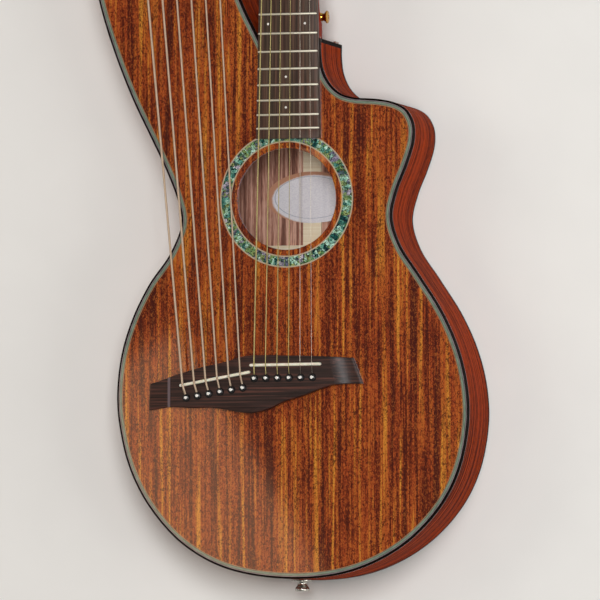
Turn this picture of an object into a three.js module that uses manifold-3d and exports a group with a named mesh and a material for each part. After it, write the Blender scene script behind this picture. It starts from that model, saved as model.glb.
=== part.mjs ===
// A harp guitar in millimetres, lying on its flat back.
// The soundboard looks up along +Z, both sets of strings run along +Y, and the treble side is +X.
// The origin is on the back, under the point where the main strings' scale begins.
import * as THREE from 'three';
import { mergeVertices } from 'three/addons/utils/BufferGeometryUtils.js';
import Module from 'manifold-3d';

const wasm = await Module();
wasm.setup();

// Main sizes
const scale_length = 648;
const body_depth = 88;
const lower_bout = 362;
const body_length = 538.5;
const arm_length = 419;
const neck_joint_width = 62.8;

// Shared thicknesses and clearances
const top_thickness = 3;
const back_thickness = 2.8;
const side_thickness = 2.6;
const glue_gap = 0.3;
const running_gap = 0.3;
const overrun = 5;
const merge_distance = 0.001;
const degree = Math.PI / 180;

// Counts
const frets = 18;
const frets_per_octave = 12;
const frets_to_body = 12;
const strings_per_set = 6;
const posts_per_row = 3;
const curve_steps = 2;
const pin_facets = 12;
const bore_facets = 8;

// Levels and lines that several pieces share
const top_level = body_depth;
const top_underside = top_level - top_thickness;
const neck_joint_setback = 5;
const fret_y = (number) => scale_length * 2 ** (-number / frets_per_octave);
const neck_edge = fret_y(frets_to_body) - neck_joint_setback;
const tail_y = neck_edge - body_length;
const arm_end = neck_edge + arm_length;
const board_end_margin = 10.1;
const board_end_y = fret_y(frets) - board_end_margin;
const string_number_shares = Array.from({ length: strings_per_set }, (_, i) => i / (strings_per_set - 1));

const group = new THREE.Group();

// Finishes
const tonewood = () => new THREE.MeshStandardMaterial({ color: 0xb4642a, roughness: 0.25 });
const side_wood = () => new THREE.MeshStandardMaterial({ color: 0x8e3d20, roughness: 0.25 });
const mahogany = () => new THREE.MeshStandardMaterial({ color: 0x7a3a24, roughness: 0.35 });
const ebony = () => new THREE.MeshStandardMaterial({ color: 0x2b211f, roughness: 0.45 });
const rosewood = () => new THREE.MeshStandardMaterial({ color: 0x3a2622, roughness: 0.5 });
const spruce = () => new THREE.MeshStandardMaterial({ color: 0xc8ab86, roughness: 0.7 });
const bone = () => new THREE.MeshStandardMaterial({ color: 0xe6e0cc, roughness: 0.4 });
const nickel = () => new THREE.MeshStandardMaterial({ color: 0xc9c8c4, roughness: 0.2, metalness: 1 });
const gold = () => new THREE.MeshStandardMaterial({ color: 0xc98f4a, roughness: 0.3, metalness: 1 });
const bronze = () => new THREE.MeshStandardMaterial({ color: 0xb09a78, roughness: 0.4, metalness: 1 });
const silk = () => new THREE.MeshStandardMaterial({ color: 0xc8b4a5, roughness: 0.4, metalness: 1 });
const steel = () => new THREE.MeshStandardMaterial({ color: 0xa5a39e, roughness: 0.3, metalness: 1 });

// A closed geometry as a solid, and a solid as a geometry
function solid(geometry) {
  const bare = geometry.clone();
  bare.deleteAttribute('normal');
  bare.deleteAttribute('uv');
  const merged = mergeVertices(bare, merge_distance);
  const vertProperties = merged.attributes.position.array;
  const triVerts = new Uint32Array(merged.index.array);
  return new wasm.Manifold(new wasm.Mesh({ numProp: 3, vertProperties, triVerts }));
}

function surface(body) {
  const mesh = body.getMesh();
  const geometry = new THREE.BufferGeometry();
  geometry.setAttribute('position', new THREE.BufferAttribute(mesh.vertProperties, 3));
  geometry.setIndex(new THREE.BufferAttribute(mesh.triVerts, 1));
  geometry.computeVertexNormals();
  return geometry;
}

function add(name, body, material, parent = group) {
  const mesh = new THREE.Mesh(surface(body), material);
  mesh.name = name;
  parent.add(mesh);
  return mesh;
}

const mix = (a, b, share) => a + (b - a) * share;
const joined = (first, ...others) => others.reduce((sum, next) => sum.add(next), first);
const cut = (body, ...cutters) => cutters.reduce((rest, cutter) => rest.subtract(cutter), body);
const placed = (body, matrix) => body.transform(Array.from(matrix.elements));

// An outline in X and Y, raised from one level to another
function prism(points, low, high) {
  const shape = new THREE.Shape(points.map(([x, y]) => new THREE.Vector2(x, y)));
  const geometry = new THREE.ExtrudeGeometry(shape, { depth: high - low, bevelEnabled: false });
  return solid(geometry.translate(0, 0, low));
}

// A side view in Y and Z, drawn out from one X to another
function slab(points, left, right) {
  const shape = new THREE.Shape(points.map(([y, z]) => new THREE.Vector2(y, z)));
  const geometry = new THREE.ExtrudeGeometry(shape, { depth: right - left, bevelEnabled: false });
  const turn = new THREE.Matrix4().makeBasis(
    new THREE.Vector3(0, 1, 0), new THREE.Vector3(0, 0, 1), new THREE.Vector3(1, 0, 0));
  return solid(geometry.applyMatrix4(turn).translate(left, 0, 0));
}

function block([x0, y0, z0], [x1, y1, z1]) {
  const geometry = new THREE.BoxGeometry(x1 - x0, y1 - y0, z1 - z0);
  return solid(geometry.translate((x0 + x1) / 2, (y0 + y1) / 2, (z0 + z1) / 2));
}

// A round bar between two points
function rod(radius, from, to, sides) {
  const start = new THREE.Vector3(...from);
  const along = new THREE.Vector3(...to).sub(start);
  const geometry = new THREE.CylinderGeometry(radius, radius, along.length(), sides);
  const turn = new THREE.Quaternion().setFromUnitVectors(
    new THREE.Vector3(0, 1, 0), along.clone().normalize());
  return solid(geometry.applyQuaternion(turn).translate(...start.addScaledVector(along, 1 / 2)));
}

// A profile of [radius, height] pairs turned about the Z axis
function turned(profile, sides) {
  const points = profile.map(([radius, height]) => new THREE.Vector2(radius, height));
  return solid(new THREE.LatheGeometry(points, sides).rotateX(Math.PI / 2));
}

// A path with a ring of the tube at each of its points, and none between them
class Route extends THREE.Curve {
  constructor(points) {
    super();
    this.points = points;
  }
  getPoint(t, target = new THREE.Vector3()) {
    return target.copy(this.points[Math.round(t * (this.points.length - 1))]);
  }
  getPointAt(u, target) {
    return this.getPoint(u, target);
  }
  getTangentAt(u, target = new THREE.Vector3()) {
    const i = Math.round(u * (this.points.length - 1));
    const here = this.points[i];
    const before = this.points[Math.max(i - 1, 0)].clone().sub(here).negate().normalize();
    const after = (this.points[i + 1] || here).clone().sub(here).normalize();
    return target.copy(before).add(after).normalize();
  }
}

function tube(points, radius, sides) {
  const ring = Array.from({ length: sides }, (_, i) => 2 * Math.PI * i / sides)
    .map((angle) => new THREE.Vector2(radius * Math.cos(angle), radius * Math.sin(angle)));
  const options = { steps: points.length - 1, extrudePath: new Route(points), bevelEnabled: false };
  return solid(new THREE.ExtrudeGeometry(new THREE.Shape(ring), options));
}

// Body outline, counterclockwise from above
// Each pair is a share of half the lower bout's width and a share of the body's length from the tail.
const treble_edge_shares = [
  [0.01, 0], [0.349, 0.013], [0.634, 0.058], [0.844, 0.126], [0.957, 0.196], [1.012, 0.285],
  [1.005, 0.353], [0.957, 0.421], [0.868, 0.489], [0.739, 0.557], [0.624, 0.616], [0.58, 0.668],
  [0.612, 0.718], [0.665, 0.762], [0.706, 0.808], [0.703, 0.84], [0.662, 0.865], [0.597, 0.878],
  [0.5, 0.885], [0.364, 0.889], [0.285, 0.898], [0.225, 0.917], [0.187, 0.944], [0.175, 0.97],
];
const bass_edge_shares = [
  [-1.089, 1.072], [-1.005, 0.982], [-0.897, 0.892], [-0.798, 0.824], [-0.703, 0.758],
  [-0.64, 0.704], [-0.617, 0.662], [-0.68, 0.606], [-0.805, 0.547], [-0.906, 0.479],
  [-0.966, 0.411], [-0.987, 0.335], [-0.967, 0.273], [-0.912, 0.204], [-0.801, 0.134],
  [-0.612, 0.065], [-0.359, 0.019],
];
// The hollow arm's edges past the neck joint, the second number being a share of the arm's length
const arm_outer_shares = [[-1.066, 1], [-1.138, 0.72], [-1.166, 0.5], [-1.163, 0.31], [-1.133, 0.193]];
const arm_inner_shares = [
  [-0.283, 0.099], [-0.35, 0.2], [-0.387, 0.32], [-0.404, 0.52], [-0.417, 0.76], [-0.431, 1],
];

const on_body = ([x, y]) => [x * lower_bout / 2, tail_y + y * body_length];
const on_arm = ([x, y]) => [x * lower_bout / 2, neck_edge + y * arm_length];

function spline(points) {
  const corners = points.map(([x, y]) => new THREE.Vector3(x, y, 0));
  const curve = new THREE.CatmullRomCurve3(corners, false, 'centripetal');
  return curve.getPoints(curve_steps * (points.length - 1)).map(({ x, y }) => [x, y]);
}

// From the arm's tip down the bass side, round the tail and up to the neck
const rim_points = [...arm_outer_shares.map(on_arm), ...bass_edge_shares.map(on_body)];
const tail_index = curve_steps * rim_points.length;
const rim_edge = spline([
  ...rim_points, ...treble_edge_shares.map(on_body), [neck_joint_width / 2, neck_edge],
]);
// From the neck up the arm's inner side to its tip
const arm_edge = spline([[-neck_joint_width / 2, neck_edge], ...arm_inner_shares.map(on_arm)]);

// A polyline moved to its left, which is into the body
function inset(points, distance) {
  return points.map(([x, y], i) => {
    const [ax, ay] = points[Math.max(i - 1, 0)];
    const [bx, by] = points[Math.min(i + 1, points.length - 1)];
    const length = Math.hypot(bx - ax, by - ay);
    return [x - distance * (by - ay) / length, y + distance * (bx - ax) / length];
  });
}

const outline = (distance = 0) => [...inset(rim_edge, distance), ...inset(arm_edge, distance)];
const wall = (points) => [...points, ...inset(points, side_thickness).reverse()];

// Body: the back is flat under the body and rises under the arm towards its tip
const arm_taper_setback = 130;
const arm_tip_rise = 30;
const taper_steps = 8;
const far_left = -lower_bout;
const far_right = lower_bout;

function back_line(offset) {
  const line = [[tail_y - overrun, offset]];
  for (let i = 0; i <= taper_steps; i++) {
    const share = i / taper_steps;
    const rise = arm_tip_rise * share * share * (3 - 2 * share);
    line.push([mix(neck_edge + arm_taper_setback, arm_end, share), offset + rise]);
  }
  line.push([arm_end + 4 * overrun, offset + arm_tip_rise]);
  return line;
}

const between = (low, high) => slab([...back_line(low), ...back_line(high).reverse()], far_left, far_right);
const below = (offset) => slab([
  [tail_y - overrun, -overrun], [arm_end + 4 * overrun, -overrun], ...back_line(offset).reverse(),
], far_left, far_right);

const back_plate = prism(outline(), 0, arm_tip_rise + back_thickness + overrun)
  .intersect(between(0, back_thickness));
add('back_plate', back_plate, side_wood());

const side_low = back_thickness + glue_gap;
const treble_wall = prism(wall(rim_edge.slice(tail_index)), side_low, top_underside);
const bass_wall = prism(wall(rim_edge.slice(0, tail_index + 1)), 0, top_underside);
const arm_wall = prism(wall(arm_edge), 0, top_underside);
const tail_centre = rim_edge[tail_index][0];
const end_pin_hole_radius = 4.6;
const tail_block_length = 32;
const mid_depth = body_depth / 2;
const tail_hole = rod(end_pin_hole_radius, [tail_centre, tail_y - overrun, mid_depth],
  [tail_centre, tail_y + tail_block_length + overrun, mid_depth], pin_facets);
const seam = (left, right) => block(
  [tail_centre - left, tail_y - overrun, 0], [tail_centre + right, tail_y + overrun, top_level]);
add('treble_side', cut(treble_wall, seam(overrun, glue_gap / 2), tail_hole), side_wood());
add('bass_side', cut(bass_wall, seam(glue_gap / 2, overrun), below(side_low), tail_hole), side_wood());
add('arm_inner_side', cut(arm_wall, below(side_low)), side_wood());

// Soundboard with its sound hole
const hole_radius = 50.8;
const hole_offset = -2.8;
const hole_below_board = 60;
const hole_centre = [hole_offset, board_end_y - hole_below_board];
const hole_sides = 28;
const pin_sides = 6;
const string_hole_radius = 2.7;

// Bridge: each pair is a share of its length from the left and of its depth from the low edge
const bridge_length = 220.5;
const bridge_left = -144;
const bridge_depth = 57;
const bridge_low = -54;
const bridge_shares = [
  [0, 0.061], [0.102, 0.112], [0.199, 0.093], [0.288, 0.096], [0.363, 0.056], [0.437, 0.005],
  [0.497, 0], [0.571, 0.074], [0.631, 0.182], [0.735, 0.302], [0.81, 0.41], [0.869, 0.472],
  [1, 0.49], [0.955, 0.94], [0.847, 0.966], [0.66, 0.99], [0.512, 1], [0.452, 0.986],
  [0.363, 0.893], [0.251, 0.8], [0.117, 0.654], [0.005, 0.52],
];
const wing_left_share = 0.107;
const wing_right_shares = [[0.835, 1.2], [0.88, 0.4]];
const main_saddle_shares = [[0.478, 0.825], [0.813, 0.835]];
const bass_saddle_shares = [[0.15, 0.481], [0.482, 0.709]];
const main_pin_shares = [[0.501, 0.5965], [0.772, 0.6035]];
const bass_pin_shares = [[0.182, 0.2685], [0.447, 0.4335]];
// The outer strings' places along each saddle
const main_crossing_shares = [0.073, 0.875];
const bass_crossing_shares = [0.055, 0.8675];
const on_bridge = ([x, y]) => [bridge_left + x * bridge_length, bridge_low + y * bridge_depth];

const along = ([a, b], share) => [mix(a[0], b[0], share), mix(a[1], b[1], share)];
const row_of = (ends, [first, last] = [0, 1]) => string_number_shares
  .map((share) => along(ends, mix(first, last, share)));
const main_saddle_ends = main_saddle_shares.map(on_bridge);
const bass_saddle_ends = bass_saddle_shares.map(on_bridge);
const main_crossings = row_of(main_saddle_ends, main_crossing_shares);
const bass_crossings = row_of(bass_saddle_ends, bass_crossing_shares);
const main_pins = row_of(main_pin_shares.map(on_bridge));
const bass_pins = row_of(bass_pin_shares.map(on_bridge));

const upright_hole = (radius, [x, y], low, high, sides) => rod(radius, [x, y, low], [x, y, high], sides);
const pin_holes = (low, high) => [...main_pins, ...bass_pins]
  .map((pin) => upright_hole(string_hole_radius, pin, low, high, pin_sides));

const soundboard = cut(
  prism(outline(), top_underside, top_level),
  upright_hole(hole_radius, hole_centre, top_underside - overrun, top_level + overrun, hole_sides),
  ...pin_holes(top_underside - overrun, top_level + overrun));
add('soundboard', soundboard, tonewood());

// Blocks inside the two ends of the body
const inside = prism(outline(side_thickness + glue_gap), 0, body_depth);
const neck_block_length = 57;
const neck_block_half = neck_joint_width / 2 - side_thickness - glue_gap;
add('neck_block', block(
  [-neck_block_half, neck_edge - neck_block_length, back_thickness],
  [neck_block_half, neck_edge - glue_gap, top_underside]), mahogany());

const tail_block_width = 90;
add('tail_block', block(
  [tail_centre - tail_block_width / 2, tail_y, back_thickness],
  [tail_centre + tail_block_width / 2, tail_y + tail_block_length, top_underside],
).intersect(inside).subtract(tail_hole), mahogany());

// Braces under the soundboard: an X below the hole, two bars beside it, one above it and the bridge's plate
const brace_width = 8;
const brace_depth = 14;
const x_brace_share = 0.675;
const x_brace_foot = [139.4, -43];
const upper_bar_above_hole = 73;
const upper_bar_reach = 120;
const hole_bar_offset = 62;
const bridge_plate_thickness = 2.5;
const bridge_plate_inset = 4;
const x_brace_y = mix(bridge_low + bridge_depth, hole_centre[1] - hole_radius, x_brace_share);
const x_brace_fall = x_brace_y - x_brace_foot[1];
const x_brace_reach = Math.hypot(x_brace_foot[0], x_brace_fall);
const x_brace_angle = Math.atan2(x_brace_fall, x_brace_foot[0]);
const upper_bar_y = hole_centre[1] + upper_bar_above_hole;

function bar([x, y], angle, reach, width, low, high) {
  const body = block([-reach, -width / 2, low], [reach, width / 2, high]);
  return placed(body, new THREE.Matrix4().makeRotationZ(angle).setPosition(x, y, 0));
}

const brace_low = top_underside - brace_depth;
const top_bar = (centre, angle, reach) => bar(centre, angle, reach, brace_width, brace_low, top_underside);
const hole_bars = [-1, 1].map((side) => {
  const x = side * hole_bar_offset;
  const low = x_brace_y + hole_bar_offset * Math.tan(x_brace_angle);
  return top_bar([x, (low + upper_bar_y) / 2], Math.PI / 2, (upper_bar_y - low) / 2);
});
const pad_level = top_underside - bridge_plate_thickness;
const bridge_pad = block(
  [bridge_left + bridge_plate_inset, bridge_low + bridge_plate_inset, pad_level],
  [bridge_left + bridge_length - bridge_plate_inset, bridge_low + bridge_depth - bridge_plate_inset,
    top_underside]);
const top_bracing = joined(
  top_bar([0, x_brace_y], x_brace_angle, x_brace_reach),
  top_bar([0, x_brace_y], -x_brace_angle, x_brace_reach),
  top_bar([0, upper_bar_y], 0, upper_bar_reach),
  ...hole_bars, bridge_pad).intersect(inside);
add('top_bracing', cut(top_bracing, ...pin_holes(brace_low - overrun, top_level)), spruce());

// Braces on the back: a strip along the middle joint and four bars across it
const back_strip_width = 19;
const back_strip_thickness = 3;
const back_brace_depth = 12;
const back_brace_centre = 1.8;
const back_brace_shares = [0.185, 0.389, 0.617, 0.822];
const back_brace_half = 150;
const back_bars = back_brace_shares.map((share) => bar(
  [back_brace_centre, tail_y + share * body_length], 0, back_brace_half,
  brace_width, back_thickness, back_thickness + back_brace_depth));
const back_strip = block(
  [back_brace_centre - back_strip_width / 2, tail_y + tail_block_length + glue_gap, back_thickness],
  [back_brace_centre + back_strip_width / 2, neck_edge - neck_block_length - glue_gap,
    back_thickness + back_strip_thickness]);
add('back_bracing', joined(back_strip, ...back_bars).intersect(inside), spruce());

// Neck: a half-round shaft that deepens into the heel, with a tilted headstock
const nut_width = 47.5;
const board_end_width = 66;
const board_thickness = 6;
const fret_width = 2.2;
const fret_crown = 1;
const fret_height = 1.1;
const fret_inset = 0.4;
const nut_thickness = 6;
const shaft_depth_at_nut = 15;
const shaft_depth_at_heel = 17;
const heel_length = 56;
const heel_lift = 4;
const heel_cap_share = 0.34;
const heel_taper_share = 0.45;
const heel_station_shares = [0, 0.34, 0.42, 0.5, 0.6, 0.7, 0.8, 0.9, 1];
const heel_squareness = 0.4;
const shaft_sides = 10;
const neck_start = neck_edge + glue_gap;
const nut_end = scale_length + nut_thickness;
const board_top = top_level + board_thickness;

const board_share = (y) => (scale_length - y) / (scale_length - board_end_y);
const board_half = (y) => mix(nut_width, board_end_width, board_share(y)) / 2;
const shaft_half = (y) => board_half(Math.min(y, scale_length));

const neck_stations = [
  ...heel_station_shares.map((share) => neck_start + share * heel_length),
  (neck_start + heel_length + nut_end) / 2, nut_end,
];

function neck_point(around, y) {
  const across = Math.cos(around);
  const down = Math.sin(around);
  const share = Math.min((y - neck_start) / heel_length, 1);
  const heel = Math.min(((1 - share) / (1 - heel_cap_share)) ** 2, 1);
  const shaft = mix(shaft_depth_at_heel, shaft_depth_at_nut, (y - neck_start) / (nut_end - neck_start));
  const depth = mix(shaft, body_depth - heel_lift, heel);
  const squared = Math.sign(across) * Math.abs(across) ** mix(1, heel_squareness, heel);
  const half = shaft_half(y) * (1 - heel * heel_taper_share * down);
  return [half * squared, y, top_level - depth * down];
}

function neck_shaft() {
  const arc = Array.from({ length: shaft_sides + 1 }, (_, i) => i / shaft_sides);
  const section = new THREE.Shape(arc.map((share) => new THREE.Vector2(share, share * (1 - share))));
  const steps = neck_stations.length - 1;
  const geometry = new THREE.ExtrudeGeometry(section, { depth: steps, steps, bevelEnabled: false });
  const position = geometry.getAttribute('position');
  for (let i = 0; i < position.count; i++) {
    const around = Math.PI * (1 - position.getX(i));
    const point = neck_point(around, neck_stations[Math.round(position.getZ(i))]);
    position.setXYZ(i, ...point);
  }
  return solid(geometry);
}

// Truss rod in a channel that is open towards the fingerboard
const rod_width = 4.4;
const rod_height = 7.4;
const rod_setback = 6;
const rod_start = neck_edge + glue_gap + rod_setback;
const rod_end = scale_length - rod_setback;
const rod_channel = block(
  [-rod_width / 2 - glue_gap, rod_start - glue_gap, top_level - rod_height - 2 * glue_gap],
  [rod_width / 2 + glue_gap, rod_end + glue_gap, top_level + overrun]);
add('truss_rod', block([-rod_width / 2, rod_start, top_level - rod_height - glue_gap],
  [rod_width / 2, rod_end, top_level - glue_gap]), steel());

// Fingerboard with its frets
const board = prism([
  [-board_end_width / 2, board_end_y], [board_end_width / 2, board_end_y],
  [nut_width / 2, scale_length - glue_gap], [-nut_width / 2, scale_length - glue_gap],
], top_level, board_top);
const fret_bars = Array.from({ length: frets }, (_, i) => {
  const y = fret_y(i + 1);
  const half = board_half(y) - fret_inset;
  return slab([
    [y - fret_width / 2, board_top - fret_height], [y + fret_width / 2, board_top - fret_height],
    [y + fret_width / 2, board_top], [y + fret_crown / 2, board_top + fret_height],
    [y - fret_crown / 2, board_top + fret_height], [y - fret_width / 2, board_top],
  ], -half, half);
});
add('fingerboard', joined(board, ...fret_bars), ebony());

// Bridge under both sets of strings, with thin wings at its two ends
const bridge_thickness = 8.5;
const wing_thickness = 4;
const saddle_thickness = 3;
const saddle_slot_depth = 4.5;
const saddle_height = 3;
const bridge_top = top_level + bridge_thickness;
const saddle_crown = bridge_top + saddle_height;
const wing_level = top_level + wing_thickness;

function saddle([[ax, ay], [bx, by]], gap, low, high) {
  const reach = Math.hypot(bx - ax, by - ay) / 2 + gap;
  const angle = Math.atan2(by - ay, bx - ax);
  return bar([(ax + bx) / 2, (ay + by) / 2], angle, reach, saddle_thickness + 2 * gap, low, high);
}

const saddle_floor = bridge_top - saddle_slot_depth;
const saddle_slots = [main_saddle_ends, bass_saddle_ends]
  .map((ends) => saddle(ends, glue_gap, saddle_floor, bridge_top + overrun));
const [wing_top, wing_foot] = wing_right_shares.map(on_bridge);
const past_right = bridge_left + bridge_length + overrun;
const left_wing_cut = block(
  [bridge_left - overrun, bridge_low - overrun, wing_level],
  [on_bridge([wing_left_share, 0])[0], bridge_low + bridge_depth + overrun, bridge_top + overrun]);
const right_wing_cut = prism([
  wing_foot, [past_right, wing_foot[1]], [past_right, wing_top[1]], wing_top,
], wing_level, bridge_top + overrun);
add('bridge', cut(
  prism(bridge_shares.map(on_bridge), top_level, bridge_top),
  left_wing_cut, right_wing_cut, ...saddle_slots, ...pin_holes(top_level - overrun, bridge_top + overrun),
), rosewood());
add('neck_saddle', saddle(main_saddle_ends, 0, saddle_floor + glue_gap, saddle_crown), bone());
add('bass_saddle', saddle(bass_saddle_ends, 0, saddle_floor + glue_gap, saddle_crown), bone());

// Headstocks: each has its own frame, with its origin at the nut's far edge and Z out of its face
// Each pair is a share of half the headstock's width and a share of its length.
const main_head_shares = [
  [0.64, 0], [0.93, 0.1], [0.96, 0.3], [1, 0.9], [0.9, 0.985], [0.55, 1.01], [0, 0.985],
];
const bass_head_shares = [[0.93, 0], [0.99, 0.15], [1, 0.9], [0.92, 0.985], [0.55, 1.02], [0, 0.99]];
const end_block_length = 16;
const end_plug_length = 26;
const end_tongue_reach = 6;
const [arm_tip_left] = rim_edge[0];
const [arm_tip_right] = arm_edge[arm_edge.length - 1];
const bass_nut_centre = (arm_tip_left + arm_tip_right) / 2;
const main_head = {
  thickness: 15, tip_margin: 60, half_width: 37, post_offset: 24, tilt: 13 * degree, lean: 0,
  origin: [0, nut_end, top_level], edge_shares: main_head_shares,
};
const bass_head = {
  thickness: 17, tip_margin: 32, half_width: 57, post_offset: 42, tilt: 8 * degree, lean: 4.35 * degree,
  origin: [bass_nut_centre, arm_end + end_block_length, top_level], edge_shares: bass_head_shares,
};

function head_frame({ origin, tilt, lean }) {
  const frame = new THREE.Group();
  frame.position.set(...origin);
  frame.rotation.set(-tilt, 0, lean, 'ZXY');
  group.add(frame);
  frame.updateMatrixWorld(true);
  return frame;
}

for (const head of [main_head, bass_head])
  head.frame = head_frame(head);

// Tuners: a worm on each button's shaft turns a gear on each post
const first_post = 42;
const post_pitch = 38;
const post_radius = 3;
const post_height = 14;
const post_slope = 1;
const waist_radius = 2.7;
const waist_low = 3;
const cap_radius = 3.5;
const cap_height = 2.2;
const string_hole_height = 10;
const post_sides = 8;
const gear_teeth = 12;
const gear_tip = 6.1;
const gear_root = 4.4;
const gear_thickness = 2.4;
const tooth_tip_share = 0.24;
const worm_distance = 8.1;
const thread_radius = 0.65;
const thread_centre = 2;
const thread_turns = 1.5;
const thread_steps = 6;
const thread_sides = 4;
const worm_half = 4.2;
const shaft_radius = 1.5;
const lug_thickness = 1.8;
const lug_half = 2.6;
const plate_thickness = 1.2;
const plate_half = 8;
const plate_margin = 4;
const knob_length = 18;
const knob_width = 15;
const knob_thickness = 8;
const knob_gap = 3;
// Each pair is a share of the knob's half width and a share of its length.
const knob_shares = [[0.62, 0.1], [0.95, 0.32], [1, 0.58], [0.82, 0.85], [0.45, 1], [0, 1]];
const rows = Array.from({ length: posts_per_row }, (_, i) => i);
const last_post = first_post + (posts_per_row - 1) * post_pitch;

const clear_of = (radius, sides) => (radius + running_gap) / Math.cos(Math.PI / sides);
const gear_pitch_radius = worm_distance - thread_centre;
const thread_pitch = 2 * Math.PI * gear_pitch_radius / gear_teeth;
const post_hole_radius = clear_of(post_radius, bore_facets);
const shaft_hole_radius = clear_of(shaft_radius, bore_facets);
const post_place = (head, side, row) => [side * head.post_offset, first_post + row * post_pitch];
const plate_front = (head) => -head.thickness - glue_gap;
const plate_back = (head) => plate_front(head) - plate_thickness;
const worm_axis = (head) => plate_back(head) - thread_centre - thread_radius - running_gap;

// A gear with one of its gaps towards the worm
function gear_outline([px, py]) {
  const pitch = 2 * Math.PI / gear_teeth;
  const corners = [[gear_tip, -tooth_tip_share / 2], [gear_tip, tooth_tip_share / 2], [gear_root, 0.5]];
  return Array.from({ length: gear_teeth }, (_, tooth) => corners.map(([radius, share]) => {
    const angle = (tooth + 0.5 + share) * pitch - Math.PI / 2;
    return [px + radius * Math.cos(angle), py + radius * Math.sin(angle)];
  })).flat();
}

function post(head, side, row, hole_radius) {
  const [px, py] = post_place(head, side, row);
  const middle = worm_axis(head);
  const cap_low = post_height - cap_height;
  const spindle = turned([
    [0, middle], [post_radius, middle], [post_radius, waist_low - post_slope], [waist_radius, waist_low],
    [waist_radius, cap_low], [cap_radius, cap_low + post_slope], [cap_radius, post_height], [0, post_height],
  ], post_sides).translate([px, py, 0]);
  const gear = prism(gear_outline([px, py]), middle - gear_thickness / 2, middle + gear_thickness / 2);
  const hole = rod(hole_radius, [px - overrun, py, string_hole_height],
    [px + overrun, py, string_hole_height], pin_sides);
  return cut(joined(spindle, gear), hole);
}

// A worm shaft along X with a flattened knob outside the headstock's edge
function button(head, side, row) {
  const [px, py] = post_place(head, side, row);
  const y = py - worm_distance;
  const z = worm_axis(head);
  const shaft_end = worm_half + lug_thickness + 2 * running_gap;
  const knob_start = head.half_width + knob_gap - side * px;
  const shaft = turned([
    [0, -shaft_end], [shaft_radius, -shaft_end], [shaft_radius, knob_start],
    ...knob_shares.map(([wide, long]) => [wide * knob_width / 2, knob_start + long * knob_length]),
  ], bore_facets).warp((point) => {
    if (point[2] > knob_start) point[0] *= knob_thickness / knob_width;
  });
  const turn = new THREE.Matrix4().makeRotationY(side * Math.PI / 2).setPosition(px, y, z);
  const count = thread_turns * thread_steps;
  const thread = tube(Array.from({ length: count + 1 }, (_, i) => {
    const turn_share = (i - count / 2) / thread_steps;
    const angle = 2 * Math.PI * turn_share;
    return new THREE.Vector3(px + thread_pitch * turn_share,
      y + thread_centre * Math.cos(angle), z + thread_centre * Math.sin(angle));
  }), thread_radius, thread_sides);
  return joined(placed(shaft, turn), thread);
}

// A plate behind each row of posts, with two lugs to hold each worm
function tuner_plate(head, side) {
  const px = side * head.post_offset;
  const z = worm_axis(head);
  const low = first_post - worm_distance - lug_half - plate_margin;
  const high = last_post + plate_half;
  const sheet = block([px - plate_half, low, plate_back(head)], [px + plate_half, high, plate_front(head)]);
  const lug_middle = worm_half + running_gap + lug_thickness / 2;
  const lugs = rows.flatMap((row) => [-lug_middle, lug_middle].map((offset) => {
    const y = first_post + row * post_pitch - worm_distance;
    const x = px + offset;
    return block([x - lug_thickness / 2, y - lug_half, z - lug_half],
      [x + lug_thickness / 2, y + lug_half, plate_back(head)]);
  }));
  const bores = rows.flatMap((row) => {
    const [x, y] = post_place(head, side, row);
    const bore_y = y - worm_distance;
    return [
      rod(post_hole_radius, [x, y, plate_back(head) - glue_gap], [x, y, 0], bore_facets),
      rod(shaft_hole_radius, [x - plate_half, bore_y, z], [x + plate_half, bore_y, z], bore_facets),
    ];
  });
  return cut(joined(sheet, ...lugs), ...bores);
}

function head_slab(head) {
  const length = last_post + head.tip_margin;
  const half = head.edge_shares.map(([x, y]) => [x * head.half_width, y * length]);
  const mirrored = half.slice(0, -1).reverse().map(([x, y]) => [-x, y]);
  const holes = [-1, 1].flatMap((side) => rows.map((row) => {
    const [x, y] = post_place(head, side, row);
    return rod(post_hole_radius, [x, y, -head.thickness - overrun], [x, y, overrun], bore_facets);
  }));
  return placed(cut(prism([...half, ...mirrored], -head.thickness, 0), ...holes), head.frame.matrixWorld);
}

// Strap button on the heel's treble side, in a flat seat
const strap_setback = 24;
const strap_level = 53;
const strap_seat_depth = 0.9;
const strap_shank_radius = 1.5;
const strap_shank_length = 14;
const strap_length = 9;
const strap_head_radius = 6.5;
const strap_foot_radius = 4.8;
const strap_neck_radius = 3.8;
const strap_rim = 2;
const halvings = 30;

function heel_half(y, level) {
  let low = 0;
  let high = Math.PI / 2;
  for (let i = 0; i < halvings; i++) {
    const middle = (low + high) / 2;
    if (neck_point(middle, y)[2] > level) low = middle;
    else high = middle;
  }
  return neck_point(low, y)[0];
}

const strap_y = neck_edge + strap_setback;
const strap_seat = heel_half(strap_y, strap_level) - strap_seat_depth;
const strap_at = (x) => [x, strap_y, strap_level];
const strap_cut = joined(
  rod(strap_head_radius + running_gap, strap_at(strap_seat), strap_at(strap_seat + 4 * overrun), pin_facets),
  rod(strap_shank_radius + running_gap, strap_at(strap_seat - strap_shank_length - glue_gap),
    strap_at(strap_seat + overrun), pin_facets));
const strap_profile = [
  [0, -strap_shank_length], [strap_shank_radius, -strap_shank_length], [strap_shank_radius, glue_gap],
  [strap_foot_radius, glue_gap], [strap_neck_radius, strap_length / 2],
  [strap_head_radius, strap_length - strap_rim], [strap_head_radius, strap_length], [0, strap_length],
];
const facing_treble = new THREE.Matrix4().makeRotationY(Math.PI / 2).setPosition(...strap_at(strap_seat));
add('strap_button', placed(turned(strap_profile, pin_facets), facing_treble), gold());
add('neck', cut(joined(neck_shaft(), head_slab(main_head)), rod_channel, strap_cut), mahogany());

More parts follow.
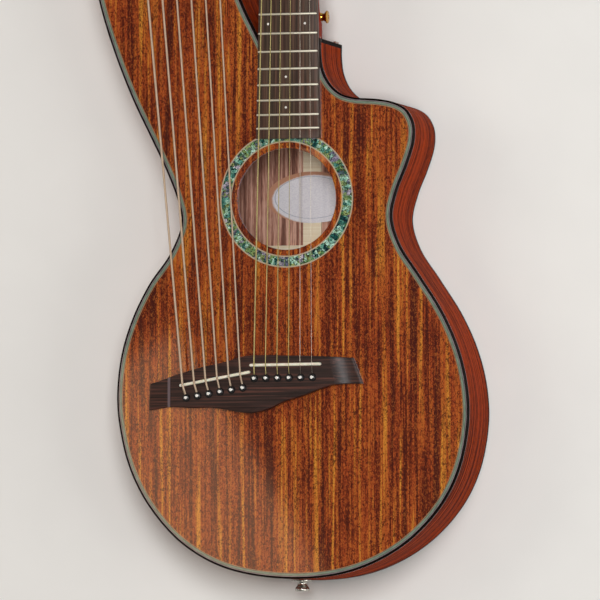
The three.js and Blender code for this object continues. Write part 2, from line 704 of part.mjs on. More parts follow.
// Bass headstock: a plug inside the arm's end, a block across it and the tilted slab
const lean_rise = (x) => (x - bass_nut_centre) * Math.tan(bass_head.lean);
const block_end = (x) => arm_end + end_block_length + lean_rise(x);
const plug_space = block([far_left, arm_end - end_plug_length, 0], [0, arm_end, top_underside]);
const plug = cut(inside.intersect(plug_space), below(back_thickness + glue_gap));
const tongue = block(
  [arm_tip_left + end_tongue_reach, arm_end - end_tongue_reach, arm_tip_rise + end_tongue_reach],
  [arm_tip_right - end_tongue_reach, arm_end + end_tongue_reach, top_underside]);
const end_block = prism([
  [arm_tip_left, arm_end + glue_gap], [arm_tip_right, arm_end + glue_gap],
  [arm_tip_right, block_end(arm_tip_right)], [arm_tip_left, block_end(arm_tip_left)],
], arm_tip_rise, top_level);
add('bass_headstock', joined(plug, tongue, end_block, head_slab(bass_head)), mahogany());

// Nuts, each at its headstock's near end, with a slot for each string
const main_string_diameters = [1.35, 1.07, 0.81, 0.61, 0.41, 0.3];
const bass_string_diameters = [2.2, 2.1, 2, 1.9, 1.8, 1.7];
const main_nut_spread = 41.6;
const main_nut_offset = 0.8;
const bass_nut_spread = 89;
const main_nut_height = 9;
const main_slot_height = 7.7;
const bass_nut_height = 9.5;
const bass_slot_height = 8;
const bass_nut_half = 51.5;
const bass_nut_setback = 5.2;

const bass_nut_end = arm_end + end_block_length - bass_nut_setback;
const nut_row = ({ origin: [middle], lean }, end, spread, offset) => string_number_shares.map((share) => {
  const across = offset + (share - 0.5) * spread;
  return [middle + across, end + across * Math.tan(lean)];
});
const main_nut_points = nut_row(main_head, nut_end, main_nut_spread, main_nut_offset);
const bass_nut_points = nut_row(bass_head, bass_nut_end, bass_nut_spread, 0);

const nut_slots = (points, over, diameters, height) => points.map(([x, y], i) => {
  const angle = Math.atan2(y - over[i][1], x - over[i][0]);
  const width = diameters[i] + 2 * running_gap;
  return bar([x, y], angle, 2 * nut_thickness, width, top_level + height, top_level + 2 * height);
});
const nut_bar = ({ origin: [x], lean }, end, half, height) => placed(
  block([-half, -nut_thickness, top_level], [half, 0, top_level + height]),
  new THREE.Matrix4().makeRotationZ(lean).setPosition(x, end, 0));
add('neck_nut', cut(
  nut_bar(main_head, nut_end, nut_width / 2, main_nut_height),
  ...nut_slots(main_nut_points, main_crossings, main_string_diameters, main_slot_height)), bone());
add('bass_nut', cut(
  nut_bar(bass_head, bass_nut_end, bass_nut_half, bass_nut_height),
  ...nut_slots(bass_nut_points, bass_crossings, bass_string_diameters, bass_slot_height)), bone());

// End pin through the tail
const end_pin_radius = end_pin_hole_radius - running_gap;
const end_pin_length = 12;
const end_pin_head_radius = 7.5;
const end_pin_neck_radius = 5;
const end_washer_radius = 11;
const end_washer_thickness = 2;
const end_pin_profile = [
  [0, -tail_block_length + glue_gap], [end_pin_radius, -tail_block_length + glue_gap],
  [end_pin_radius, glue_gap], [end_washer_radius, glue_gap], [end_washer_radius, end_washer_thickness],
  [end_pin_neck_radius, end_washer_thickness], [end_pin_neck_radius, end_pin_length / 2],
  [end_pin_head_radius, end_pin_length * 3 / 4], [end_pin_head_radius, end_pin_length], [0, end_pin_length],
];
const facing_tail = new THREE.Matrix4().makeRotationX(Math.PI / 2)
  .setPosition(tail_centre, tail_y, mid_depth);
add('end_pin', placed(turned(end_pin_profile, pin_facets), facing_tail), nickel());

// Strings: from the ball under the bridge's plate, over saddle and nut, and round the post
const winding_turns = 1.75;
const winding_steps = 8;
const string_sides = 5;
const ball_radius = 2;
const ball_length = 4;
const mouth_drop = 1.2;
const mouth_share = 0.1;
const main_string_hole_radius = 0.9;
const bass_string_hole_radius = 1.4;
const at = (x, y, z) => new THREE.Vector3(x, y, z);

function string_route(set, index) {
  const { head, nuts, over, pins, slot_level } = set;
  const radius = set.diameters[index] / 2;
  const lift = radius + running_gap;
  const [pin_x, pin_y] = pins[index];
  const [sx, sy] = over[index];
  const [nx, ny] = nuts[index];
  const break_point = at(nx, ny, slot_level + lift);
  const points = [
    at(pin_x, pin_y, pad_level - ball_radius - glue_gap),
    at(pin_x, pin_y, bridge_top + lift - mouth_drop),
    at(...along([pins[index], over[index]], mouth_share), bridge_top + lift),
    at(sx, sy, saddle_crown + lift),
    break_point,
  ];
  const side = index < posts_per_row ? -1 : 1;
  const row = side < 0 ? index : strings_per_set - 1 - index;
  const [px, py] = post_place(head, side, row);
  const reach = clear_of(waist_radius + radius, winding_steps);
  const pitch = 2 * lift;
  const nut = head.frame.worldToLocal(break_point.clone());
  const away = Math.hypot(nut.x - px, nut.y - py);
  const start = Math.atan2(nut.y - py, nut.x - px) - side * Math.acos(reach / away);
  for (let i = 0; i <= winding_turns * winding_steps; i++) {
    const turn_share = i / winding_steps;
    const angle = start - side * 2 * Math.PI * turn_share;
    const height = string_hole_height - pitch * (winding_turns - turn_share);
    points.push(head.frame.localToWorld(
      at(px + reach * Math.cos(angle), py + reach * Math.sin(angle), height)));
  }
  return { points, radius, side, row };
}

// The least gap between a string's turns, measured between points at least half a turn apart
function least_gap({ points, radius }) {
  const turns = points.slice(-winding_turns * winding_steps - 1);
  const gaps = turns.flatMap((a, i) => turns.slice(i + winding_steps / 2).map((b) => a.distanceTo(b)));
  return Math.min(...gaps) - 2 * radius;
}

const sets = [
  { name: 'neck', head: main_head, diameters: main_string_diameters, pins: main_pins,
    over: main_crossings, nuts: main_nut_points, slot_level: top_level + main_slot_height,
    hole_radius: main_string_hole_radius, finish: (i) => (i < 4 ? bronze() : steel()) },
  { name: 'bass', head: bass_head, diameters: bass_string_diameters, pins: bass_pins,
    over: bass_crossings, nuts: bass_nut_points, slot_level: top_level + bass_slot_height,
    hole_radius: bass_string_hole_radius, finish: silk },
];
const gaps = sets.flatMap((set) => set.pins.map((_, i) => least_gap(string_route(set, i))));
console.log(`least gap between a string's turns: ${Math.min(...gaps).toFixed(2)} mm`);

for (const set of sets) {
  const { name, head } = set;
  for (let i = 0; i < strings_per_set; i++) {
    const number = strings_per_set - i;
    const { points, radius, side, row } = string_route(set, i);
    const [{ x, y, z }] = points;
    const ball = rod(ball_radius, [x - ball_length / 2, y, z], [x + ball_length / 2, y, z], pin_sides);
    add(`${name}_string_${number}`, joined(tube(points, radius, string_sides), ball), set.finish(i));
    add(`${name}_post_${number}`, post(head, side, row, set.hole_radius), nickel(), head.frame);
    add(`${name}_button_${number}`, button(head, side, row), nickel(), head.frame);
  }
  add(`${name}_plate_left`, tuner_plate(head, -1), nickel(), head.frame);
  add(`${name}_plate_right`, tuner_plate(head, 1), nickel(), head.frame);
}

export default group;
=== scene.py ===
import math

import bmesh
import bpy
from bpy.props import FloatProperty, FloatVectorProperty, IntProperty, PointerProperty
from mathutils import Matrix, Vector
from mathutils.geometry import tessellate_polygon


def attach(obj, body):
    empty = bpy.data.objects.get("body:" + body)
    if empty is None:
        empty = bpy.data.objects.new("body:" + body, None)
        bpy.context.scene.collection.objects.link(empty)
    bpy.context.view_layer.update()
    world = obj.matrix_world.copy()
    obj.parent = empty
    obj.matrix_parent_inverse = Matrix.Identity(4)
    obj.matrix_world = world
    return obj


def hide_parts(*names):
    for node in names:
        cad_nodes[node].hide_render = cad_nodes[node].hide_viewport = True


bl_info = {
    "name": "Harp Guitar",
    "version": (1, 0, 0),
    "blender": (4, 5, 0),
    "location": "View3D > Sidebar > Harp Guitar",
    "description": "Dresses a harp guitar with its woods, bindings, frets, strings and tuners",
    "category": "Object",
}

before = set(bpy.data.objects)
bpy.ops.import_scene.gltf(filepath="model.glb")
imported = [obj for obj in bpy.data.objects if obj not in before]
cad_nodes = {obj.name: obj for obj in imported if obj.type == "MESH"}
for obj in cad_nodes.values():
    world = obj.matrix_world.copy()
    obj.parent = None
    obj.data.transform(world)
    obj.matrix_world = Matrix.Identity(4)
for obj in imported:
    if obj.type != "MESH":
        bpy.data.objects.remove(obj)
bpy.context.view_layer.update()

# Lengths in this file are in millimetres, and meshes are made in metres.
MM = 0.001
STRINGS = (6, 5, 4, 3, 2, 1)
MAIN, BASS = "neck", "bass"


def linear(code):
    """Turns an sRGB hex colour into Blender's linear colour with alpha."""
    channels = [int(code[i:i + 2], 16) / 255 for i in (1, 3, 5)]
    return (*[c / 12.92 if c <= 0.04045 else ((c + 0.055) / 1.055) ** 2.4 for c in channels], 1.0)


def colour(name, description, code):
    return FloatVectorProperty(name=name, description=description, default=linear(code),
                               size=4, subtype="COLOR", min=0, max=1)


def length(name, description, value):
    return FloatProperty(name=name, description=description, default=value * MM, unit="LENGTH")


# Sizes and colours that a user would change

class HARPGUITAR_PG_body(bpy.types.PropertyGroup):
    binding_width: length("Binding Width", "Width of the dark binding seen from above", 2.0)
    binding_height: length("Binding Height", "Height of the binding on the side", 4.6)
    purfling_width: length("Purfling Width", "Width of the grey-green band inside the binding", 2.1)
    kerf_pitch: length("Kerf Pitch", "Distance between the small blocks of the linings", 6.4)
    hole_radius: length("Sound Hole Radius", "Radius of the sound hole", 50.8)
    top_gold: colour("Top Gold", "Lightest figure in the lacquered top", "#cc862e")
    top_red: colour("Top Red", "Middle colour of the lacquered top", "#953c17")
    top_dark: colour("Top Dark", "Darkest figure in the lacquered top", "#4a180a")
    side_wood: colour("Side Wood", "Main colour of the sides and back", "#7c2806")
    binding: colour("Binding", "Near-black binding", "#120b09")
    purfling: colour("Purfling", "Grey-green band of the purfling", "#6f7d6d")


class HARPGUITAR_PG_rosette(bpy.types.PropertyGroup):
    shell_inner: length("Shell Inner Radius", "Inner radius of the shell ring", 58)
    shell_outer: length("Shell Outer Radius", "Outer radius of the shell ring", 67.3)
    line_width: length("Line Width", "Width of the light line at each edge of the shell ring", 1.25)
    tiles: IntProperty(name="Tiles", description="Shell pieces round the ring", default=76, min=8)


class HARPGUITAR_PG_neck(bpy.types.PropertyGroup):
    scale_length: length("Scale Length", "Nut to saddle along the fretted strings", 648)
    frets: IntProperty(name="Frets", description="Frets on the board", default=18, min=1, max=24)
    fret_width: length("Fret Width", "Width of a fret's crown", 2.2)
    fret_height: length("Fret Height", "Height of a fret over the board", 1.1)
    dot_radius: length("Dot Radius", "Radius of a position dot", 1.15)
    board_wood: colour("Fingerboard", "Colour of the fingerboard", "#44352c")
    neck_wood: colour("Neck Wood", "Colour of the lacquered neck", "#8c2d1b")


class HARPGUITAR_PG_bridge(bpy.types.PropertyGroup):
    pin_head: length("Pin Head Radius", "Radius of a bridge pin's head", 4)
    pearl_radius: length("Pearl Radius", "Radius of the dot on a bridge pin", 1.5)
    saddle_crown: length("Saddle Crown", "Radius of a saddle's rounded crown", 1.4)
    wood: colour("Bridge Wood", "Colour of the bridge", "#2f1f1b")


class HARPGUITAR_PG_metal(bpy.types.PropertyGroup):
    screw_radius: length("Screw Head Radius", "Radius of a tuner plate's screw heads", 1.7)
    bushing_radius: length("Bushing Radius", "Outer radius of a post's bushing", 5.2)
    nickel: colour("Nickel", "Colour of the tuners and end pin", "#b9b6ae")
    gold: colour("Gold", "Colour of the strap button", "#c79a45")


class HARPGUITAR_PG_strings(bpy.types.PropertyGroup):
    clearance: length("Clearance", "Air between a string and what it bears on", 0.02)
    winding_turns: FloatProperty(name="Turns", description="Turns round each post", default=1.75)
    wound: colour("Wound String", "Bronze winding of the fretted strings", "#cdbf80")
    bass_wound: colour("Bass String", "Pale winding of the bass strings", "#c6ad93")


# Sizes that the CAD model fixes, in millimetres

SPLINE_STEPS = 8
SMOOTH_ANGLE = 38
BODY_DEPTH = 88
MID_DEPTH = BODY_DEPTH / 2
TOP_THICKNESS = 3
BACK_THICKNESS = 2.8
SIDE_THICKNESS = 2.6
HALF_BOUT = 181
BODY_LENGTH = 538.5
NECK_EDGE = 319
TAIL_Y = NECK_EDGE - BODY_LENGTH
ARM_LENGTH = 419
ARM_END = NECK_EDGE + ARM_LENGTH
ARM_TIP_RISE = 30
TAPER_START = 449
JOINT_HALF = 31.4
HOLE_CENTRE = (-2.8, 159)
BRIDGE_LEFT, BRIDGE_LENGTH = -144, 220.5
BRIDGE_LOW, BRIDGE_DEPTH = -54, 57
BRIDGE_TOP = 96.5
SADDLE_CROWN = 99.5
SADDLE_FLOOR = 92.3
SADDLE_THICKNESS = 3
WING_LEVEL = 92
BOARD_END_Y = 219
BOARD_END_HALF = 33
NUT_HALF = 23.75
NUT_END = 654
BASS_NUT_LINE = 754
BOARD_TOP = 94
GLUE_GAP = 0.3
NECK_START = NECK_EDGE + GLUE_GAP
HEEL_LENGTH = 56
HEEL_DEPTH = 84
HEEL_CAP_SHARE = 0.34
HEEL_TAPER_SHARE = 0.45
HEEL_SQUARENESS = 0.4
SHAFT_AT_HEEL, SHAFT_AT_NUT = 17, 15
PAD_LEVEL = 82.5
FIRST_POST, POST_PITCH, POSTS_PER_ROW = 42, 38, 3
POST_RADIUS = 3
WAIST_RADIUS = 2.7
STRING_HOLE_HEIGHT = 10
PLATE_THICKNESS = 1.5
WORM_DISTANCE, WORM_BEHIND = 8.1, 2.95
THREAD_CENTRE = 2
THREAD_RADIUS = 0.65
THREAD_PITCH = 3.194
SHAFT_RADIUS = 1.5
SHAFT_END = 6.6
KNOB_LENGTH, KNOB_WIDTH, KNOB_THICKNESS, KNOB_GAP = 18, 15, 8, 3
BALL_RADIUS, BALL_LENGTH = 2, 4

# Each pair is a share of half the lower bout's width and a share of the body's length from the tail.
TREBLE_SHARES = [
    (0.01, 0), (0.349, 0.013), (0.634, 0.058), (0.844, 0.126), (0.957, 0.196), (1.012, 0.285),
    (1.005, 0.353), (0.957, 0.421), (0.868, 0.489), (0.739, 0.557), (0.624, 0.616), (0.58, 0.668),
    (0.612, 0.718), (0.665, 0.762), (0.706, 0.808), (0.703, 0.84), (0.662, 0.865), (0.597, 0.878),
    (0.5, 0.885), (0.364, 0.889), (0.285, 0.898), (0.225, 0.917), (0.187, 0.944), (0.175, 0.97),
]
BASS_SHARES = [
    (-1.089, 1.072), (-1.005, 0.982), (-0.897, 0.892), (-0.798, 0.824), (-0.703, 0.758),
    (-0.64, 0.704), (-0.617, 0.662), (-0.68, 0.606), (-0.805, 0.547), (-0.906, 0.479),
    (-0.966, 0.411), (-0.987, 0.335), (-0.967, 0.273), (-0.912, 0.204), (-0.801, 0.134),
    (-0.612, 0.065), (-0.359, 0.019),
]
# The arm's edges past the neck joint, the second number being a share of the arm's length
ARM_OUTER_SHARES = [(-1.066, 1), (-1.138, 0.72), (-1.166, 0.5), (-1.163, 0.31), (-1.133, 0.193)]
ARM_INNER_SHARES = [
    (-0.283, 0.099), (-0.35, 0.2), (-0.387, 0.32), (-0.404, 0.52), (-0.417, 0.76), (-0.431, 1),
]
# Each pair is a share of the bridge's length from the left and of its depth from the low edge.
BRIDGE_LOW_SHARES = [
    (0, 0.061), (0.102, 0.112), (0.199, 0.093), (0.288, 0.096), (0.363, 0.056), (0.437, 0.005),
    (0.497, 0), (0.571, 0.074), (0.631, 0.182), (0.735, 0.302), (0.81, 0.41), (0.869, 0.472), (1, 0.49),
]
BRIDGE_HIGH_SHARES = [
    (0.955, 0.94), (0.847, 0.966), (0.66, 0.99), (0.512, 1), (0.452, 0.986),
    (0.363, 0.893), (0.251, 0.8), (0.117, 0.654), (0.005, 0.52),
]
SADDLE_SHARES = {MAIN: ((0.478, 0.825), (0.813, 0.835)), BASS: ((0.15, 0.481), (0.482, 0.709))}
PIN_SHARES = {MAIN: ((0.501, 0.5965), (0.772, 0.6035)), BASS: ((0.182, 0.2685), (0.447, 0.4335))}
CROSSING_SHARES = {MAIN: (0.073, 0.875), BASS: (0.055, 0.8675)}
# Each pair is a share of half a headstock's width and a share of its length.
MAIN_HEAD_SHARES = [(0.64, 0), (0.93, 0.1), (0.96, 0.3), (1, 0.9), (0.9, 0.985), (0.55, 1.01), (0, 0.985)]
BASS_HEAD_SHARES = [(0.93, 0), (0.99, 0.15), (1, 0.9), (0.92, 0.985), (0.55, 1.02), (0, 0.99)]
KNOB_SHARES = [(0.62, 0.1), (0.95, 0.32), (1, 0.58), (0.82, 0.85), (0.45, 1), (0, 1)]


class Head:
    """A headstock's frame, with its origin at the nut's far edge and Z out of its face."""

    def __init__(self, origin, tilt, lean, thickness, reach, half_width, post_offset, shares):
        turn = Matrix.Rotation(math.radians(lean), 4, "Z") @ Matrix.Rotation(math.radians(-tilt), 4, "X")
        self.matrix = Matrix.Translation(origin) @ turn
        self.tilt, self.lean = math.radians(tilt), math.radians(lean)
        self.origin = origin
        self.thickness = thickness
        self.reach = reach
        self.half_width = half_width
        self.post_offset = post_offset
        self.shares = shares
        self.plate_back = -thickness - PLATE_THICKNESS
        self.worm_axis = self.plate_back - WORM_BEHIND

    def post(self, side, row):
        return side * self.post_offset, FIRST_POST + row * POST_PITCH

    def posts(self):
        return [self.post(side, row) for side in (-1, 1) for row in range(POSTS_PER_ROW)]


HEADS = {
    MAIN: Head(origin=(0, NUT_END, BODY_DEPTH), tilt=13, lean=0, thickness=15, reach=178,
               half_width=37, post_offset=24, shares=MAIN_HEAD_SHARES),
    BASS: Head(origin=(-135.4785, BASS_NUT_LINE, BODY_DEPTH), tilt=8, lean=4.35, thickness=17, reach=150,
               half_width=57, post_offset=42, shares=BASS_HEAD_SHARES),
}
# Strings from the thickest to the thinnest
DIAMETERS = {MAIN: (1.35, 1.07, 0.81, 0.61, 0.41, 0.3), BASS: (2.2, 2.1, 2, 1.9, 1.8, 1.7)}
NUT_SPREAD = {MAIN: 41.6, BASS: 89}
NUT_OFFSET = {MAIN: 0.8, BASS: 0}
NUT_FAR_EDGE = {MAIN: NUT_END, BASS: 748.8}
SLOT_LEVEL = {MAIN: 95.7, BASS: 96}


# Lines and outlines

def mix(a, b, share):
    return a + (b - a) * share


def ease(share):
    """Runs smoothly from 0 to 1 as the share does, and stays level outside."""
    share = min(max(share, 0), 1)
    return share * share * (3 - 2 * share)


def along(ends, share):
    return tuple(mix(a, b, share) for a, b in zip(*ends))


def away(a, b):
    return math.hypot(b[0] - a[0], b[1] - a[1])


def spline(corners, steps=SPLINE_STEPS):
    """Runs a centripetal Catmull-Rom curve through the corners."""
    first = [2 * a - b for a, b in zip(corners[0], corners[1])]
    last = [2 * a - b for a, b in zip(corners[-1], corners[-2])]
    points = [first, *corners, last]
    line = []
    for p0, p1, p2, p3 in zip(points, points[1:], points[2:], points[3:]):
        before, here, after = (away(a, b) ** 0.5 for a, b in ((p0, p1), (p1, p2), (p2, p3)))
        pair = []
        for a, b, c, d in zip(p0, p1, p2, p3):
            start = (b - a) / before - (c - a) / (before + here) + (c - b) / here
            end = (c - b) / here - (d - b) / (here + after) + (d - c) / after
            pair.append((b, c, start * here, end * here))
        for step in range(steps):
            t = step / steps
            line.append(tuple(
                b * (2 * t ** 3 - 3 * t * t + 1) + c * (3 * t * t - 2 * t ** 3)
                + start * (t ** 3 - 2 * t * t + t) + end * (t ** 3 - t * t)
                for b, c, start, end in pair))
    return [*line, tuple(corners[-1])]


# An open line's end that climbs less than this runs level, and so isn't kept at its level.
LEAST_RISE = 0.3


def inset(line, distance, closed=False):
    """Moves a line to its left, which is into the body; an open line's ends stay at their level."""
    moved_line = []
    for i, (x, y) in enumerate(line):
        a = line[i - 1] if closed or i else line[0]
        b = line[(i + 1) % len(line)] if closed or i + 1 < len(line) else line[-1]
        reach = away(a, b)
        across, up = (b[0] - a[0]) / reach, (b[1] - a[1]) / reach
        spot = (x - distance * up, y + distance * across)
        if not closed and i in (0, len(line) - 1) and abs(up) > LEAST_RISE:
            spot = (spot[0] + across * (y - spot[1]) / up, y)
        moved_line.append(spot)
    return moved_line


def circle(centre, radius, sides):
    return [(centre[0] + radius * math.cos(2 * math.pi * i / sides),
             centre[1] + radius * math.sin(2 * math.pi * i / sides)) for i in range(sides)]


def on_body(share):
    return (share[0] * HALF_BOUT, TAIL_Y + share[1] * BODY_LENGTH)


def on_arm(share):
    return (share[0] * HALF_BOUT, NECK_EDGE + share[1] * ARM_LENGTH)


def on_bridge(share):
    return (BRIDGE_LEFT + share[0] * BRIDGE_LENGTH, BRIDGE_LOW + share[1] * BRIDGE_DEPTH)


def back_rise(y):
    """The back's rise under the arm, from flat to the arm's tip."""
    return ARM_TIP_RISE * ease((y - TAPER_START) / (ARM_END - TAPER_START))


# Meshes: each builder takes millimetres and gives a bmesh, and piece() puts it in the scene

EDGE_STEPS = 3
ROD_SIDES = 32
# Points nearer than these are one point, in a finished mesh and in a CAD node's mesh.
WELD, CAD_WELD = 0.0005, 0.002
CUT_MARGIN = 0.0001
# In degrees: faces that meet at less are one face, and edges sharper than this are eased
FLAT_ANGLE, BEVEL_ANGLE = 0.5, 35


def loft(rings):
    """Joins rings of equally many points, and closes the two ends."""
    mesh = bmesh.new()
    rows = [[mesh.verts.new(point) for point in ring] for ring in rings]
    uv = mesh.loops.layers.uv.new("UVMap")
    steps = [0.0]
    for a, b in zip(rings, rings[1:]):
        steps.append(steps[-1] + (Vector(b[0]) - Vector(a[0])).length * MM)
    count = len(rings[0])
    rounds = [0.0]
    for i in range(count):
        a, b = rings[0][i], rings[0][(i + 1) % count]
        rounds.append(rounds[-1] + (Vector(b) - Vector(a)).length * MM)
    for row in range(len(rows) - 1):
        for i in range(count):
            j = (i + 1) % count
            face = mesh.faces.new((rows[row][i], rows[row][j], rows[row + 1][j], rows[row + 1][i]))
            spots = ((row, i), (row, i + 1), (row + 1, i + 1), (row + 1, i))
            for loop, (down, across) in zip(face.loops, spots):
                loop[uv].uv = (steps[down], rounds[across])
    for row in (rows[0], rows[-1]):
        fill(mesh, [row])
    return mesh


def fill(mesh, loops):
    """Fills a ring of vertices with triangles, less the rings inside it."""
    every = [v for loop in loops for v in loop]
    for triangle in tessellate_polygon([[v.co.copy() for v in loop] for loop in loops]):
        corners = [every[i] for i in triangle]
        if len(set(corners)) == 3:
            mesh.faces.new(corners)


def ribbon(line, profile, shift=None):
    """Sweeps a profile of (inset, height) pairs along a line, with the height shifted by the place."""
    sides = [inset(line, distance) for distance, _ in profile]
    rings = []
    for i in range(len(line)):
        ring = []
        for (_, z), side in zip(profile, sides):
            x, y = side[i]
            ring.append((x, y, z + (shift(y) if shift and z < MID_DEPTH else 0)))
        rings.append(ring)
    return loft(rings)


def quarter(radius):
    """Offsets and drops that round an edge off by a quarter turn, or one pair for a sharp edge."""
    turns = [math.pi / 2 * i / EDGE_STEPS for i in range(EDGE_STEPS + 1)] if radius else [0]
    return [(radius * (1 - math.sin(a)), radius * (1 - math.cos(a))) for a in turns]


def plate(outer, holes, low, high, top=0.0, under=0.0, hole_ease=0.0):
    """A plate with holes, whose edges are rounded by the radii top, under and hole_ease."""
    mesh = bmesh.new()
    tops, bottoms = [], []
    for loop in [outer, *holes]:
        sign, upper, lower = (1, top, under) if loop is outer else (-1, hole_ease, 0)
        edges = [(offset, high - drop) for offset, drop in quarter(upper)]
        edges += [(offset, low + rise) for offset, rise in quarter(lower)[::-1]]
        rows = []
        for offset, z in edges:
            rim = inset(loop, sign * offset, closed=True)
            rows.append([mesh.verts.new((x, y, z)) for x, y in rim])
        for a, b in zip(rows, rows[1:]):
            for i in range(len(loop)):
                j = (i + 1) % len(loop)
                mesh.faces.new((a[i], a[j], b[j], b[i]))
        tops.append(rows[0])
        bottoms.append(rows[-1])
    for loops in (tops, bottoms):
        fill(mesh, loops)
    return mesh


def slice_up(mesh, point, normal):
    """Cuts a mesh's faces along the plane through a point."""
    whole = [*mesh.verts, *mesh.edges, *mesh.faces]
    bmesh.ops.bisect_plane(mesh, geom=whole, dist=CUT_MARGIN, plane_co=point, plane_no=normal)


def lathe(profile, sides):
    """Turns a profile of (radius, height) pairs round Z, with its poles closed."""
    mesh = bmesh.new()
    turn = [2 * math.pi * i / sides for i in range(sides)]
    rows = []
    for radius, z in profile:
        spots = [(radius * math.cos(a), radius * math.sin(a), z) for a in turn] if radius else [(0, 0, z)]
        rows.append([mesh.verts.new(spot) for spot in spots])
    for a, b in zip(rows, rows[1:]):
        for i in range(sides):
            j = (i + 1) % sides
            ring = [a[i % len(a)], a[j % len(a)], b[j % len(b)], b[i % len(b)]]
            mesh.faces.new(list(dict.fromkeys(ring)))
    return mesh


def tube(points, radius, sides):
    """A round tube along points, without twist."""
    points = [Vector(p) for p in points]
    rings = []
    across = None
    for i, point in enumerate(points):
        ahead = (points[min(i + 1, len(points) - 1)] - points[max(i - 1, 0)]).normalized()
        if across is None:
            across = ahead.orthogonal().normalized()
        across = (across - ahead * across.dot(ahead)).normalized()
        up = ahead.cross(across)
        rings.append([point + radius * (across * math.cos(a) + up * math.sin(a))
                      for a in (2 * math.pi * k / sides for k in range(sides))])
    return loft(rings)


def rod(radius, start, end, sides=ROD_SIDES):
    return tube([start, along((start, end), 0.5), end], radius, sides)


def moved(mesh, matrix):
    mesh.transform(matrix)
    return mesh


def joined(*meshes):
    """Puts several meshes in the first one."""
    whole = meshes[0]
    for other in meshes[1:]:
        data = bpy.data.meshes.new("join")
        other.to_mesh(data)
        other.free()
        whole.from_mesh(data)
        bpy.data.meshes.remove(data)
    return whole


def piece(name, mesh, *keys, smooth=SMOOTH_ANGLE, bevel=0.0):
    """Makes a finished object of a bmesh, with outward faces, soft shading and eased edges."""
    bmesh.ops.remove_doubles(mesh, verts=mesh.verts, dist=WELD)
    bmesh.ops.recalc_face_normals(mesh, faces=mesh.faces)
    mesh.transform(Matrix.Scale(MM, 4))
    data = bpy.data.meshes.new(name)
    mesh.to_mesh(data)
    mesh.free()
    for key in keys:
        data.materials.append(finish(key))
    thing = bpy.data.objects.new(name, data)
    bpy.context.scene.collection.objects.link(thing)
    if bevel:
        edge = thing.modifiers.new("Eased edges", "BEVEL")
        edge.width = bevel * MM
        edge.segments = EDGE_STEPS
        edge.limit_method = "ANGLE"
        edge.angle_limit = math.radians(BEVEL_ANGLE)
        edge.use_clamp_overlap = True
        settle(thing)
    shade(thing.data, smooth)
    return thing


def shade(data, angle):
    """Shades a mesh smooth, and keeps the edges sharper than the angle."""
    data.polygons.foreach_set("use_smooth", [True] * len(data.polygons))
    data.set_sharp_from_angle(angle=math.radians(angle))
    data.update()


def settle(thing):
    """Turns an object's modifiers into its own plain mesh, and removes them."""
    graph = bpy.context.evaluated_depsgraph_get()
    graph.update()
    data = bpy.data.meshes.new_from_object(thing.evaluated_get(graph))
    old = thing.data
    thing.modifiers.clear()
    thing.data = data
    data.name = thing.name
    bpy.data.meshes.remove(old)


def carve(thing, meshes, operation="DIFFERENCE", angle=SMOOTH_ANGLE):
    """Cuts meshes from a piece, or joins them to it, and keeps the piece's material."""
    tools = [piece("Tool", mesh) for mesh in meshes]
    for tool in tools:
        modifier = thing.modifiers.new("Cut", "BOOLEAN")
        modifier.operation = operation
        modifier.solver = "EXACT"
        modifier.object = tool
    settle(thing)
    for tool in tools:
        data = tool.data
        bpy.data.objects.remove(tool)
        bpy.data.meshes.remove(data)
    shade(thing.data, angle)


def merged(node):
    """A copy of a CAD node's mesh in millimetres, with its loose triangles joined."""
    mesh = bmesh.new()
    mesh.from_mesh(cad_nodes[node].data)
    mesh.transform(Matrix.Scale(1 / MM, 4))
    bmesh.ops.remove_doubles(mesh, verts=mesh.verts, dist=CAD_WELD)
    bmesh.ops.dissolve_limit(
        mesh, angle_limit=math.radians(FLAT_ANGLE), verts=mesh.verts, edges=mesh.edges)
    return mesh


# Materials

def add_node(tree, kind, links=None, stops=None, out=0, **settings):
    """Adds a node with its settings, colour stops and inputs, and gives one of its output sockets."""
    node = tree.nodes.new(kind)
    for key, value in settings.items():
        setattr(node, key, value)
    if stops:
        elements = node.color_ramp.elements
        elements.remove(elements[1])
        elements[0].position, elements[0].color = stops[0]
        for position, stop_colour in stops[1:]:
            elements.new(position).color = stop_colour
    for key, value in (links or {}).items():
        if isinstance(value, bpy.types.NodeSocket):
            tree.links.new(value, node.inputs[key])
        else:
            node.inputs[key].default_value = value
    return node.outputs[out] if len(node.outputs) else node


def paint(source, share=1.0):
    """A linear colour from a grey level, an sRGB hex code or a setting named group.key, times a share."""
    if isinstance(source, (int, float)):
        return (source, source, source, 1.0)
    if source.startswith("#"):
        base = linear(source)
    else:
        group, key = source.split(".")
        base = getattr(getattr(bpy.context.scene, f"harpguitar_{group}"), key)
    return (*[min(channel * share, 1) for channel in tuple(base)[:3]], 1.0)


